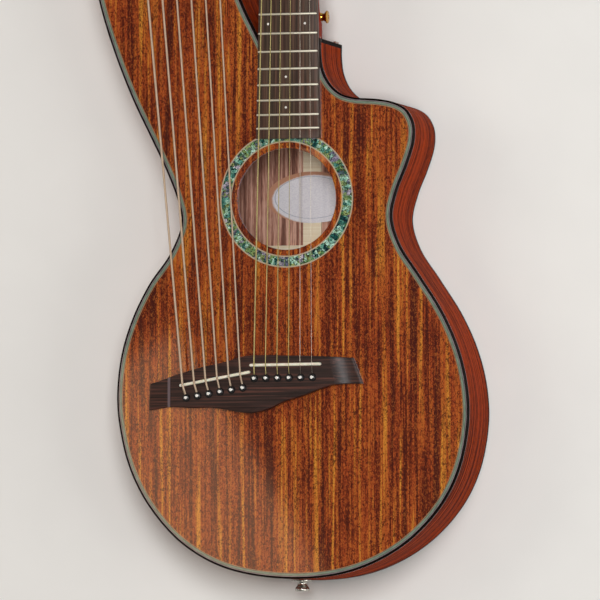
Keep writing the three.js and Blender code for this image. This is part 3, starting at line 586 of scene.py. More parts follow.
class Finish:
    """A material under way, with its node tree and the coordinates that its patterns follow."""

    def __init__(self, name, slot, source="Object"):
        self.material = bpy.data.materials.new(name)
        self.material.use_nodes = True
        self.material["slot"] = slot
        self.tree = self.material.node_tree
        self.tree.nodes.clear()
        self.place = self.add("ShaderNodeTexCoord", out=source)

    def add(self, kind, links=None, stops=(), out=0, **settings):
        """Adds a node, where each stop is a position and what paint takes."""
        colours = [(position, paint(*tone)) for position, *tone in stops]
        return add_node(self.tree, kind, links, colours, out, **settings)

    def grain(self, sizes, detail=3.0, shift=0.0, roughness=0.5, distortion=0.0):
        """A pattern whose features have the given sizes in millimetres along X, Y and Z."""
        scale = [1 / (size * MM) for size in sizes]
        mapped = self.add("ShaderNodeMapping", {
            "Vector": self.place, "Location": (shift, shift, shift), "Scale": scale})
        return self.add("ShaderNodeTexNoise", {
            "Vector": mapped, "Scale": 1.0, "Detail": detail, "Roughness": roughness,
            "Distortion": distortion})

    def end(self, base, height=None, depth=0.05, **sockets):
        """Ends the material; height is a relief whose full depth is given in millimetres."""
        links = {"Base Color": base}
        if height is not None:
            links["Normal"] = self.add("ShaderNodeBump", {
                "Height": height, "Distance": depth * MM, "Strength": 1.0})
        links.update({key.replace("_", " "): value for key, value in sockets.items()})
        shader = self.add("ShaderNodeBsdfPrincipled", links)
        self.add("ShaderNodeOutputMaterial", {"Surface": shader})
        return self.material


# The wave texture turns once in this much of its coordinate.
WAVE_TURN = 0.31416
LACQUER = {"Coat_Weight": 1.0, "Coat_Roughness": 0.07, "Coat_IOR": 1.5, "Specular_IOR_Level": 0.05}
# Walls are seen at a grazing angle, where a full gloss would only mirror the pale floor.
RUBBED = {"Coat_Weight": 0.1, "Coat_Roughness": 0.2, "Coat_IOR": 1.3, "Specular_IOR_Level": 0.0}
# Most of a noise pattern's values lie between these two.
NOISE_LOW, NOISE_HIGH = 0.3, 0.7
finishes = {}


def finish(key):
    """The material of that key, made the first time that it is asked for."""
    if key not in finishes:
        finishes[key] = FINISH_MAKERS[key]()
    return finishes[key]


def patterned(name, slot, patterns, stops, depth, source="Object", **sockets):
    """A maker for a finish coloured by a weighted sum of grains, the first of which is its relief."""
    def maker():
        f = Finish(name, slot, source)
        grains = [f.grain(*pattern) for _, *pattern in patterns]
        figure = grains[-1]
        for (weight, *_), grain in reversed([*zip(patterns, grains)][:-1]):
            figure = f.add("ShaderNodeMath", {0: grain, 1: weight, 2: figure}, operation="MULTIPLY_ADD")
        base = f.add("ShaderNodeValToRGB", {0: figure}, stops)
        values = {}
        for key, value in sockets.items():
            # A pair is a range that follows the relief.
            values[key] = value if isinstance(value, float) else f.add("ShaderNodeMapRange", {
                0: grains[0], 1: NOISE_LOW, 2: NOISE_HIGH, 3: value[0], 4: value[1]})
        return f.end(base, grains[0], depth, **values)
    return maker


def fibre(name, source):
    """A maker for a dyed fibre line under lacquer, nearly even and broken by short lengthwise marks."""
    return patterned(name, "silk", [(1, (7, 0.5, 3), 3, 2.6)],
                     [(0.3, source, 0.62), (0.5, source), (0.7, source, 1.3)], 0.01, "UV",
                     Roughness=0.4, **LACQUER)


def figured_top():
    # Figured wood stained and lacquered: gold, orange and red-brown stripes with short dark curls
    f = Finish("Lacquered figured top wood", "soundboard")
    bands = f.grain((5.4, 260, 60), 1.5, 3.1, 0.5, 0.7)
    stripes = f.grain((1.9, 95, 60), 3, 9.4, 0.6, 0.5)
    figure = f.add("ShaderNodeMath", {0: bands, 1: 1.5, 2: stripes}, operation="MULTIPLY_ADD")
    share = f.add("ShaderNodeMath", {0: figure, 1: 2.5}, operation="DIVIDE")
    wood = f.add("ShaderNodeValToRGB", {0: share}, [
        (0.38, "body.top_dark"), (0.44, "#652208"), (0.5, "body.top_red"), (0.56, "#a4551c"),
        (0.63, "body.top_gold")])
    curls = f.grain((1.35, 2.8, 10), 2.2, 7.7, 0.6, 1.2)
    patches = f.grain((12, 40, 60), 2, 1.9)
    both = f.add("ShaderNodeMath", {0: patches, 1: 0.25, 2: curls}, operation="MULTIPLY_ADD")
    dark = f.add("ShaderNodeValToRGB", {0: both}, [(0.6, 0), (0.73, 0.85)])
    light = f.add("ShaderNodeValToRGB", {0: both}, [(0.5, 0.4), (0.58, 0)])
    flecked = f.add("ShaderNodeMix", {0: dark, 6: wood, 7: linear("#380f05")}, out=2, data_type="RGBA")
    base = f.add("ShaderNodeMix", {0: light, 6: flecked, 7: linear("#b9682a")}, out=2, data_type="RGBA")
    return f.end(base, stripes, 0.02, Roughness=0.4, **LACQUER)


def board_rosewood():
    # Oiled rosewood: dark, satin, with reddish and greenish streaks along it and open pores
    f = Finish("Oiled dark rosewood", "rosewood")
    streaks = f.grain((1.9, 95, 30), 3, 5.5, 0.6)
    hues = f.grain((5, 150, 30), 2, 12.5)
    pores = f.grain((0.35, 5, 5), 2, 8.1)
    wood = f.add("ShaderNodeValToRGB", {0: streaks}, [
        (0.34, "neck.board_wood", 0.45), (0.5, "neck.board_wood"), (0.66, "neck.board_wood", 1.9)])
    hue = f.add("ShaderNodeValToRGB", {0: hues}, [(0.4, "#94937c"), (0.6, "#c08878")])
    base = f.add("ShaderNodeMix", {
        0: 0.45, 6: wood, 7: hue}, out=2, data_type="RGBA", blend_type="OVERLAY")
    return f.end(base, pores, 0.08, Roughness=0.38, Specular_IOR_Level=0.2)


def bridge_rosewood():
    # Oiled rosewood with its faint reddish streaks across the instrument, and a painted sheen over the
    # step to the left wing
    f = Finish("Oiled bridge rosewood", "ebony")
    streaks = f.grain((85, 1.7, 3), 3, 2.2, 0.6)
    pores = f.grain((5, 0.35, 2), 2, 8.1)
    wood = f.add("ShaderNodeValToRGB", {0: streaks}, [
        (0.36, "bridge.wood", 0.45), (0.52, "bridge.wood"), (0.68, "#54322a")])
    # A paler grey-lilac band over the step down to the left wing is a painted sheen: the light that the
    # step's slope reflects, painted into the wood's colour.
    across = f.add("ShaderNodeSeparateXYZ", {0: f.place})
    share = f.add("ShaderNodeMapRange", {
        0: across, 1: (WING_LEFT - WING_RUN_LEFT) * MM, 2: WING_LEFT * MM})
    painted_sheen = f.add("ShaderNodeValToRGB", {0: share}, [(0.05, 0), (0.3, 0.7), (0.75, 1), (0.95, 0)])
    wood = f.add("ShaderNodeMix", {0: painted_sheen, 6: wood, 7: linear("#7c6c70")}, out=2, data_type="RGBA")
    return f.end(wood, pores, 0.08, Roughness=0.34, Specular_IOR_Level=0.22)


def shell():
    # Cut shell under lacquer: uneven flakes from mint and green to grey-purple, with near-black cracks
    f = Finish("Inlaid shell", "bone")
    tone = f.add("ShaderNodeAttribute", attribute_name="tone", out="Fac")
    clouds = f.grain((1.6, 1.6, 1.6), 3, 4.2, 0.6, 1.2)
    flake_size = 3.4
    warp = f.add("ShaderNodeVectorMath", {
        0: f.place, 1: (1 / MM / flake_size,) * 3}, operation="MULTIPLY")
    bent = f.add("ShaderNodeVectorMath", {0: warp, 1: clouds}, operation="ADD")
    flakes = f.add("ShaderNodeTexVoronoi", {"Vector": bent, "Scale": 1.0}, out="Color")
    flake = f.add("ShaderNodeSeparateColor", {0: flakes})
    share = f.add("ShaderNodeMath", {0: tone, 1: 0.55}, operation="MULTIPLY")
    both = f.add("ShaderNodeMath", {0: flake, 1: 0.45, 2: share}, operation="MULTIPLY_ADD")
    hues = f.add("ShaderNodeValToRGB", {0: both}, [
        (0.1, "#123038"), (0.24, "#1f5a54"), (0.34, "#6fb09c"), (0.42, "#c9efdc"), (0.5, "#5c8f58"),
        (0.58, "#9fac6c"), (0.66, "#2d5e48"), (0.76, "#736c8c"), (0.88, "#c3bcca")])
    cracks = f.add("ShaderNodeValToRGB", {0: f.grain((1.3, 1.3, 1.3), 2, 9.1, 0.5, 1.5)}, [
        (0.44, 0.06), (0.53, 1.1)])
    base = f.add("ShaderNodeMix", {
        0: 1.0, 6: hues, 7: cracks}, out=2, data_type="RGBA", blend_type="MULTIPLY")
    return f.end(base, clouds, 0.01, Metallic=0.15, Roughness=0.25, **LACQUER)


def label_paper():
    # Bare oval paper: pale lilac-grey with a fibrous surface, a tan rim and one thin printed oval
    f = Finish("Label paper", "bone")
    centred = f.add("ShaderNodeMapping", {
        "Vector": f.place, "Location": (-LABEL_CENTRE[0] * MM, -LABEL_CENTRE[1] * MM, 0)})
    centred = f.add("ShaderNodeMapping", {"Vector": centred, "Scale": (
        1 / (LABEL_HALF[0] * MM), 1 / (LABEL_HALF[1] * MM), 0)})
    reach = f.add("ShaderNodeVectorMath", {0: centred}, out="Value", operation="LENGTH")
    fibres = f.grain((1.6, 0.8, 4), 4, 3.9, 0.6)
    fuzz = f.add("ShaderNodeMath", {0: fibres, 1: 0.09, 2: reach}, operation="MULTIPLY_ADD")
    paper = f.add("ShaderNodeValToRGB", {0: fibres}, [(0.35, "#dcd8e0"), (0.65, "#f0edf0")])
    # The tan rim is widest at the upper left and runs out towards the lower right.
    lean = f.add("ShaderNodeVectorMath", {
        0: centred, 1: (-0.07, 0.08, 0)}, out="Value", operation="DOT_PRODUCT")
    fuzz = f.add("ShaderNodeMath", {0: fuzz, 1: lean}, operation="ADD")
    rim = f.add("ShaderNodeValToRGB", {0: fuzz}, [(0.95, 0), (1.0, 1)])
    edged = f.add("ShaderNodeMix", {0: rim, 6: paper, 7: linear("#c08a6c")}, out=2, data_type="RGBA")
    line = f.add("ShaderNodeValToRGB", {0: reach}, [(0.8, 0), (0.808, 0.6), (0.82, 0.6), (0.828, 0)])
    base = f.add("ShaderNodeMix", {0: line, 6: edged, 7: linear("#77829a")}, out=2, data_type="RGBA")
    return f.end(base, fibres, 0.03, Roughness=0.8)


def matt_floor():
    # Pale matt paint, very slightly uneven
    f = Finish("Pale matt floor", "bone")
    mottle = f.grain((60, 60, 60), 2)
    base = f.add("ShaderNodeValToRGB", {0: mottle}, [(0.3, "#e6e5e2"), (0.7, "#e8e7e4")])
    return f.end(base, Roughness=0.9)


def winding(name, slot, source, pitch, metallic):
    """A maker for a wound string: fine turns round the core, drawn coarser than they are."""
    def maker():
        # Real turns are about 0.3 mm apart; they are drawn at the pitch given, so that they show.
        f = Finish(name, slot, "UV")
        scaled = f.add("ShaderNodeMapping", {"Vector": f.place, "Scale": (1 / (pitch * MM), 0, 0)})
        turns = f.add("ShaderNodeTexWave", {"Vector": scaled, "Scale": WAVE_TURN}, out="Fac")
        base = f.add("ShaderNodeValToRGB", {0: turns}, [
            (0.05, source, 0.45), (0.6, source), (1.0, source, 1.25)])
        return f.end(base, turns, 0.12, Metallic=metallic, Roughness=0.34)
    return maker


FINISH_MAKERS = {
    "top": figured_top, "board": board_rosewood, "bridge": bridge_rosewood, "shell": shell,
    "label": label_paper, "floor": matt_floor,
    # Lacquered mahogany bent along the body: long grain that follows the side, under a clear gloss
    "side": patterned(
        "Lacquered side mahogany", "body_wood", [(0.6, (5, 0.7, 5), 2, 4.4), (1, (170, 3.2, 5), 3, 2.3)],
        [(0.66, "body.side_wood", 0.4), (0.79, "body.side_wood"), (0.92, "body.side_wood", 1.9)],
        0.02, "UV", Roughness=0.5, **RUBBED),
    # The same mahogany on the flat back, where the grain runs from end to end
    "back": patterned(
        "Lacquered back mahogany", "body_wood",
        [(0.3, (0.45, 9, 5), 2, 4.4), (0.8, (22, 500, 60), 2, 6.1), (1, (3, 170, 60), 3, 8.8)],
        [(0.84, "body.side_wood", 0.45), (1.0, "body.side_wood", 1.5)], 0.02, Roughness=0.4, **LACQUER),
    # Mahogany left bare inside the body: matt, with brown stripes and open pores
    "bare": patterned(
        "Bare mahogany", "mahogany", [(0.3, (0.6, 8, 8), 2, 1.1), (1, (3.4, 150, 40), 3, 2.9)],
        [(0.5, "#6b4134"), (0.63, "#a36e5b"), (0.76, "#d8aa95")], 0.08, Roughness=0.75),
    # Mahogany stained red under a glossy lacquer, with its grain along the neck
    "neck": patterned(
        "Lacquered red mahogany", "mahogany", [(0.3, (0.5, 7, 0.8), 2, 6.2), (1, (2.6, 140, 4), 3, 3.7)],
        [(0.48, "neck.neck_wood", 0.5), (0.64, "neck.neck_wood"), (0.8, "neck.neck_wood", 1.45)],
        0.02, Roughness=0.5, **RUBBED),
    # Bare spruce braces: pale and matt, with fine straight grain
    "spruce": patterned(
        "Bare spruce", "spruce", [(1, (120, 1.1, 1.1), 2, 4.1)], [(0.35, "#ead6b4"), (0.65, "#f8ead0")],
        0.05, Roughness=0.7),
    # Polished bone: creamy, with faint fibres and a soft glow
    "bone": patterned(
        "Polished bone", "bone", [(1, (4, 4, 0.5), 3, 1.7)], [(0.35, "#d9d2ba"), (0.65, "#ece7d6")],
        0.01, Roughness=0.3, Subsurface_Weight=0.15, Subsurface_Scale=0.002, IOR=1.54),
    # Nickel plate on stamped and turned parts: bright and slightly warm, with soft polishing marks
    "nickel": patterned(
        "Polished nickel plate", "nickel", [(0, (0.5, 5, 0.5), 2, 3.3), (1, (9, 9, 9), 2)],
        [(0.4, "metal.nickel", 0.92), (0.6, "metal.nickel")], 0.004, Metallic=1.0, Roughness=(0.16, 0.3)),
    # Gold plate on the strap button: polished, with faint wear
    "gold": patterned(
        "Gold plate", "gold", [(1, (2, 2, 2), 3, 2.1)], [(0.35, "metal.gold", 0.85), (0.6, "metal.gold")],
        0.003, Metallic=1.0, Roughness=(0.14, 0.3)),
    # Nickel silver fret wire, worn bright along its crown
    "fret": patterned(
        "Nickel silver fret wire", "steel", [(1, (0.6, 0.6, 6), 2, 1.4)],
        [(0.35, "#ded8c4"), (0.65, "#efeada")], 0.003, Metallic=1.0, Roughness=(0.45, 0.55)),
    # Drawn steel: the truss rod and the plain strings, satin along the draw
    "steel": patterned(
        "Drawn steel", "steel", [(1, (0.4, 12, 0.4), 2, 2.4)], [(0.35, "#a79d8c"), (0.65, "#c8bfae")],
        0.002, Metallic=1.0, Roughness=0.28),
    # Moulded celluloid binding: near-black with a soft sheen under the lacquer
    "binding": patterned(
        "Dark celluloid binding", "ebony", [(1, (30, 1.2, 3), 2, 3.5)],
        [(0.35, "body.binding", 0.7), (0.65, "body.binding", 1.4)], 0.01, "UV", Roughness=0.4, **RUBBED),
    # Mother of pearl dots: white with a faint rosy and green play
    "pearl": patterned(
        "Mother of pearl", "bone", [(1, (0.9, 0.9, 0.9), 2, 6.5)],
        [(0.35, "#c9d6cf"), (0.5, "#eeeae0"), (0.65, "#e3cfd0")],
        0.004, Roughness=0.18, Coat_Weight=0.6, Coat_Roughness=0.05),
    # Turned black plastic pins: smooth, with faint turning marks
    "pin": patterned(
        "Black turned plastic", "ebony", [(1, (6, 6, 0.25), 2, 1.2)],
        [(0.35, "#0b0a0a"), (0.65, "#1b1918")], 0.006, Roughness=0.22, IOR=1.5),
    # Dark dyed veneer on the headstocks' faces under gloss lacquer
    "veneer": patterned(
        "Dark head veneer", "ebony", [(1, (1.6, 80, 30), 3, 7.9)], [(0.35, "#150e0c"), (0.66, "#38241e")],
        0.01, Roughness=0.35, **LACQUER),
    "pink": fibre("Pinkish grey fibre line", "#81777a"),
    "dark": fibre("Dark fibre line", "#2a130c"),
    "green": fibre("Grey-green fibre band", "body.purfling"),
    "beige": fibre("Beige fibre line", "#94765a"),
    "reddish": fibre("Reddish fibre line", "#6a3524"),
    "ring": fibre("Light rosette line", "#a8987f"),
    "lining": fibre("Cedar lining", "#8a5b43"),
    # Bronze wire wound on steel: bright and golden
    "bronze": winding("Bronze winding", "bronze", "strings.wound", 0.9, 0.75),
    # Silver-plated wire wound on silk: pale and soft
    "silk": winding("Silk and silver winding", "silk", "strings.bass_wound", 1.1, 0.25),
}


# Geometry Nodes trees for what repeats

FRETS_PER_OCTAVE = 12


def new_tree(name, inputs):
    """A Geometry Nodes tree with named inputs; gives the tree and its input node's sockets."""
    tree = bpy.data.node_groups.new(name, "GeometryNodeTree")
    for label, kind in [("Geometry", "NodeSocketGeometry"), *inputs]:
        tree.interface.new_socket(label, in_out="INPUT", socket_type=kind)
    tree.interface.new_socket("Geometry", in_out="OUTPUT", socket_type="NodeSocketGeometry")
    return tree, tree.nodes.new("NodeGroupInput").outputs


def end_tree(tree, instances, material):
    real = add_node(tree, "GeometryNodeRealizeInstances", {"Geometry": instances})
    dressed_mesh = add_node(tree, "GeometryNodeSetMaterial", {"Geometry": real, "Material": material})
    add_node(tree, "NodeGroupOutput", {"Geometry": dressed_mesh})
    return tree


def row_tree():
    """Copies a shape at even steps from a start to an end."""
    tree, given = new_tree("Row", [
        ("Count", "NodeSocketInt"), ("Start", "NodeSocketVector"), ("End", "NodeSocketVector"),
        ("Rotation", "NodeSocketVector"), ("Material", "NodeSocketMaterial")])
    line = add_node(tree, "GeometryNodeMeshLine", {
        "Count": given["Count"], "Start Location": given["Start"], "Offset": given["End"]},
        mode="END_POINTS", count_mode="TOTAL")
    turn = add_node(tree, "FunctionNodeEulerToRotation", {"Euler": given["Rotation"]})
    copies = add_node(tree, "GeometryNodeInstanceOnPoints", {
        "Points": line, "Instance": given["Geometry"], "Rotation": turn})
    return end_tree(tree, copies, given["Material"])


def fret_tree():
    """Places frets by the rule of equal semitones, each as wide as the board there."""
    tree, given = new_tree("Frets", [
        ("Count", "NodeSocketInt"), ("Scale Length", "NodeSocketFloat"), ("End Place", "NodeSocketFloat"),
        ("Nut Half Width", "NodeSocketFloat"), ("End Half Width", "NodeSocketFloat"),
        ("Inset", "NodeSocketFloat"), ("Level", "NodeSocketFloat"), ("Material", "NodeSocketMaterial")])
    # The first fret is one semitone up, so an index of zero already gives a twelfth.
    semitone = 1 / FRETS_PER_OCTAVE
    index = add_node(tree, "GeometryNodeInputIndex")
    octaves = add_node(tree, "ShaderNodeMath", {
        0: index, 1: -semitone, 2: -semitone}, operation="MULTIPLY_ADD")
    ratio = add_node(tree, "ShaderNodeMath", {0: 2.0, 1: octaves}, operation="POWER")
    place = add_node(tree, "ShaderNodeMath", {0: ratio, 1: given["Scale Length"]}, operation="MULTIPLY")
    edge = add_node(tree, "ShaderNodeMapRange", {
        0: place, 1: given["Scale Length"], 2: given["End Place"],
        3: given["Nut Half Width"], 4: given["End Half Width"]})
    half = add_node(tree, "ShaderNodeMath", {0: edge, 1: given["Inset"]}, operation="SUBTRACT")
    full = add_node(tree, "ShaderNodeMath", {0: half, 1: 2.0}, operation="MULTIPLY")
    spot = add_node(tree, "ShaderNodeCombineXYZ", {"Y": place, "Z": given["Level"]})
    points = add_node(tree, "GeometryNodePoints", {"Count": given["Count"], "Position": spot})
    width = add_node(tree, "ShaderNodeCombineXYZ", {"X": full, "Y": 1.0, "Z": 1.0})
    copies = add_node(tree, "GeometryNodeInstanceOnPoints", {
        "Points": points, "Instance": given["Geometry"], "Scale": width})
    return end_tree(tree, copies, given["Material"])


def ring_tree():
    """Turns copies of a tile about a centre, and gives each its own tone."""
    tree, given = new_tree("Ring", [
        ("Count", "NodeSocketInt"), ("Centre", "NodeSocketVector"), ("Seed", "NodeSocketInt"),
        ("Material", "NodeSocketMaterial")])
    points = add_node(tree, "GeometryNodePoints", {"Count": given["Count"], "Position": given["Centre"]})
    step = add_node(tree, "ShaderNodeMath", {0: 2 * math.pi, 1: given["Count"]}, operation="DIVIDE")
    index = add_node(tree, "GeometryNodeInputIndex")
    angle = add_node(tree, "ShaderNodeMath", {0: index, 1: step}, operation="MULTIPLY")
    turns = add_node(tree, "ShaderNodeCombineXYZ", {"Z": angle})
    turn = add_node(tree, "FunctionNodeEulerToRotation", {"Euler": turns})
    copies = add_node(tree, "GeometryNodeInstanceOnPoints", {
        "Points": points, "Instance": given["Geometry"], "Rotation": turn})
    chance = add_node(tree, "FunctionNodeRandomValue", {"Seed": given["Seed"]}, out=1, data_type="FLOAT")
    toned = add_node(tree, "GeometryNodeStoreNamedAttribute", {
        "Geometry": copies, "Name": "tone", "Value": chance}, data_type="FLOAT", domain="INSTANCE")
    return end_tree(tree, toned, given["Material"])


def path_tree():
    """Sets copies of a block along a path object, each turned along it."""
    tree, given = new_tree("Along a Path", [
        ("Path", "NodeSocketObject"), ("Pitch", "NodeSocketFloat"), ("Material", "NodeSocketMaterial")])
    path = add_node(tree, "GeometryNodeObjectInfo", {"Object": given["Path"]}, out="Geometry")
    curve = add_node(tree, "GeometryNodeMeshToCurve", {"Mesh": path})
    points = add_node(tree, "GeometryNodeCurveToPoints", {
        "Curve": curve, "Length": given["Pitch"]}, out="Points", mode="LENGTH")
    turn = add_node(tree, "FunctionNodeAlignRotationToVector", {
        "Vector": points.node.outputs["Tangent"]}, axis="X", pivot_axis="Z")
    copies = add_node(tree, "GeometryNodeInstanceOnPoints", {
        "Points": points, "Instance": given["Geometry"], "Rotation": turn})
    return end_tree(tree, copies, given["Material"])


TREE_MAKERS = {"row": row_tree, "frets": fret_tree, "ring": ring_tree, "path": path_tree}
trees = {}


def repeat(thing, key, **values):
    """Runs a tree on a piece with its inputs and the piece's material, and leaves the plain mesh."""
    if key not in trees:
        trees[key] = TREE_MAKERS[key]()
    modifier = thing.modifiers.new(trees[key].name, "NODES")
    modifier.node_group = trees[key]
    values["material"] = thing.data.materials[0]
    for socket in trees[key].interface.items_tree:
        value = values.get(socket.name.lower().replace(" ", "_"))
        if socket.in_out == "INPUT" and value is not None:
            modifier[socket.identifier] = value
    settle(thing)
    shade(thing.data, SMOOTH_ANGLE)


def keep(thing, *nodes, body="instrument"):
    """Lets a finished piece ride on its body and stand for CAD nodes."""
    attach(thing, body)
    if nodes:
        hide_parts(*nodes)


def place(name, mesh, key, *nodes, body="instrument", **shading):
    """Makes a piece with one finish, and keeps it for the CAD nodes named."""
    keep(piece(name, mesh, key, **shading), *nodes, body=body)


def place_row(name, mesh, key, count, start, end, rotation=(0, 0, 0)):
    """Makes and keeps a row of copies of one small shape, with its ends in millimetres."""
    thing = piece(name, mesh, key)
    repeat(thing, "row", count=count, start=[c * MM for c in start], end=[c * MM for c in end],
           rotation=list(rotation))
    keep(thing)


# Lines of the body

RIM_CORNERS = [*map(on_arm, ARM_OUTER_SHARES), *map(on_body, BASS_SHARES)]
TAIL_INDEX = SPLINE_STEPS * len(RIM_CORNERS)
RIM = spline([*RIM_CORNERS, *map(on_body, TREBLE_SHARES), (JOINT_HALF, NECK_EDGE)])
ARM = spline([(-JOINT_HALF, NECK_EDGE), *map(on_arm, ARM_INNER_SHARES)])
TAIL_CENTRE = RIM[TAIL_INDEX][0]
# The arm's binding runs on for a little way under the fingerboard.
UNDER_BOARD = 18
ARM_TURN = [(b - a) / away(ARM[0], ARM[1]) for a, b in zip(ARM[0], ARM[1])]
ARM_LINE = [tuple(a - UNDER_BOARD * turn for a, turn in zip(ARM[0], ARM_TURN)), *ARM]


# The body

LINE_WIDTHS = (("pink", 0.7), ("dark", 0.3), ("green", 0), ("dark", 0.25), ("beige", 0.7))
# The binding's ledge lies over the side walls and under the purfling.
LEDGE = 1.9
LEDGE_LEVEL = 85.2
JOINT_STRIP = 4
SIDE_LINE = 0.8
# The smallest step or overlap between two finished pieces
HAIR = 0.02
WALL_GAP, BACK_GAP = 0.05, 0.1
TOP_UNDERSIDE = BODY_DEPTH - TOP_THICKNESS
# A rounded outer edge, as pairs of inset and drop
ROUNDED_EDGE = [(0, 0.6), (0.18, 0.18), (0.6, 0)]
HOLE_SIDES = 128
HOLE_EASE = 0.5
BACK_STEPS = 24
# A face of the back whose normal rises past this is on the inside, and is left bare.
INNER_FACE = 0.7
LINING_DEPTH, LINING_HEIGHT, LINING_LIP, LINING_TOE = 5.5, 12, 4.5, 1.5
KERF_SHARE = 0.82
LINING_INSET = 0.2
# The linings begin a few points in from the line's start, and stop short of the arm's end.
LINING_START = {"rim": 6, "arm": 3}
LINING_STOP = ARM_END - 30
BODY_LINES = {"rim": RIM, "arm": ARM}


def purfling_lines(size):
    """The purfling's lines from the binding inward: material key, and near and far inset."""
    near = size.binding_width / MM
    lines = []
    for key, width in LINE_WIDTHS:
        far = near + (width or size.purfling_width / MM)
        lines.append((key, near, far))
        near = far
    return lines


class HARPGUITAR_OT_soundboard(bpy.types.Operator):
    """Builds the soundboard inside its purfling, with the sound hole"""
    bl_idname = "harpguitar.soundboard"
    bl_label = "Soundboard"

    def execute(self, context):
        size = context.scene.harpguitar_body
        edge = purfling_lines(size)[-1][2]
        outer = inset(RIM, edge) + inset(ARM_LINE, edge)
        hole = circle(HOLE_CENTRE, size.hole_radius / MM, HOLE_SIDES)
        top = plate(outer, [hole], TOP_UNDERSIDE, BODY_DEPTH, hole_ease=HOLE_EASE)
        place("top", top, "top", "soundboard")
        return {"FINISHED"}


class HARPGUITAR_OT_binding(bpy.types.Operator):
    """Runs the bindings round the body's edges and the purfling round its top"""
    bl_idname = "harpguitar.binding"
    bl_label = "Binding and Purfling"

    def execute(self, context):
        size = context.scene.harpguitar_body
        width, tall = size.binding_width / MM, size.binding_height / MM
        low, high = BODY_DEPTH - tall, BODY_DEPTH
        top = [(0, low), *[(far, high - drop) for far, drop in ROUNDED_EDGE], (width, high),
               (width, LEDGE_LEVEL), (LEDGE, LEDGE_LEVEL), (LEDGE, low)]
        back = [*[(far, drop) for far, drop in ROUNDED_EDGE[::-1]], (0, tall), (LEDGE, tall),
                (LEDGE, BACK_THICKNESS), (width, BACK_THICKNESS), (width, 0)]
        line_low = low - SIDE_LINE
        under = [(-HAIR, line_low), (-HAIR, low), (LEDGE, low), (LEDGE, line_low)]
        for half, side_line in BODY_LINES.items():
            line = ARM_LINE if half == "arm" else side_line
            place(f"top_binding_{half}", ribbon(line, top), "binding")
            place(f"back_binding_{half}", ribbon(side_line, back, back_rise), "binding")
            place(f"side_line_{half}", ribbon(side_line, under), "reddish")
            for number, (key, near, far) in enumerate(purfling_lines(size), 1):
                strip = [(near, TOP_UNDERSIDE), (near, high), (far, high), (far, TOP_UNDERSIDE)]
                place(f"purfling_{half}_{number}", ribbon(line, strip), key)
        return {"FINISHED"}


class HARPGUITAR_OT_sides(bpy.types.Operator):
    """Bends the three side walls, with the dark strip at the neck joint"""
    bl_idname = "harpguitar.sides"
    bl_label = "Sides"

    def execute(self, context):
        size = context.scene.harpguitar_body
        tall = size.binding_height / MM
        line_low = BODY_DEPTH - tall - SIDE_LINE
        middle, high, low = MID_DEPTH + 1, TOP_UNDERSIDE - WALL_GAP, BACK_THICKNESS + BACK_GAP
        wall = [(0, tall), (0, middle), (0, line_low), (LEDGE, line_low), (LEDGE, high),
                (SIDE_THICKNESS, high), (SIDE_THICKNESS, middle), (SIDE_THICKNESS, low),
                (LEDGE, low), (LEDGE, tall)]
        treble = RIM[TAIL_INDEX:]
        joint = NECK_EDGE - JOINT_STRIP
        treble = [p for i, p in enumerate(treble) if p[1] < joint or i < len(treble) // 2]
        treble.append((JOINT_HALF + HAIR, joint))
        place("treble_wall", ribbon(treble, wall, back_rise), "side", "treble_side")
        place("bass_wall", ribbon(RIM[:TAIL_INDEX + 1], wall, back_rise), "side", "bass_side")
        place("arm_inner_wall", ribbon(ARM, wall, back_rise), "side", "arm_inner_side")
        strip = [(0, tall), (0, line_low), (LEDGE, line_low), (LEDGE, tall)]
        line = [(JOINT_HALF, y) for y in (joint + HAIR, joint + JOINT_STRIP / 2, NECK_EDGE)]
        place("joint_strip", ribbon(line, strip), "binding")
        return {"FINISHED"}


class HARPGUITAR_OT_back(bpy.types.Operator):
    """Builds the back, which rises under the hollow arm"""
    bl_idname = "harpguitar.back"
    bl_label = "Back"

    def execute(self, context):
        width = context.scene.harpguitar_body.binding_width / MM
        board = plate(inset(RIM, width) + inset(ARM, width), [], 0, BACK_THICKNESS)
        for i in range(BACK_STEPS):
            slice_up(board, (0, mix(TAPER_START, ARM_END, i / BACK_STEPS), 0), (0, 1, 0))
        for v in board.verts:
            v.co.z += back_rise(v.co.y)
        thing = piece("back", board, "back", "bare")
        for face in thing.data.polygons:
            face.material_index = int(face.normal.z > INNER_FACE)
        keep(thing, "back_plate")
        return {"FINISHED"}


class HARPGUITAR_OT_linings(bpy.types.Operator):
    """Sets the kerfed linings along the insides of the walls, above and below"""
    bl_idname = "harpguitar.linings"
    bl_label = "Linings"

    def execute(self, context):
        pitch = context.scene.harpguitar_body.kerf_pitch
        half_block = pitch / MM * KERF_SHARE / 2
        for half, line in BODY_LINES.items():
            middle = inset(line, SIDE_THICKNESS + LINING_INSET)[LINING_START[half]:]
            middle = [p for p in middle if p[1] < LINING_STOP]
            for level in ("upper", "lower"):
                sign = -1 if level == "upper" else 1
                z = TOP_UNDERSIDE - BACK_GAP if level == "upper" else BACK_THICKNESS + BACK_GAP
                section = [(0, 0), (0, sign * LINING_HEIGHT), (LINING_TOE, sign * LINING_HEIGHT),
                           (LINING_DEPTH, sign * LINING_LIP), (LINING_DEPTH, 0)]
                rings = [[(x, y, h) for y, h in section] for x in (-half_block, half_block)]
                block = piece(f"lining_{half}_{level}", loft(rings), "lining")
                path = bpy.data.meshes.new("path")
                spots = [(x * MM, y * MM, (z + (back_rise(y) if level == "lower" else 0)) * MM)
                         for x, y in middle]
                path.from_pydata(spots, [(i, i + 1) for i in range(len(spots) - 1)], [])
                guide = bpy.data.objects.new("path", path)
                context.scene.collection.objects.link(guide)
                repeat(block, "path", path=guide, pitch=pitch)
                bpy.data.objects.remove(guide)
                keep(block)
        return {"FINISHED"}


# Rosette and label

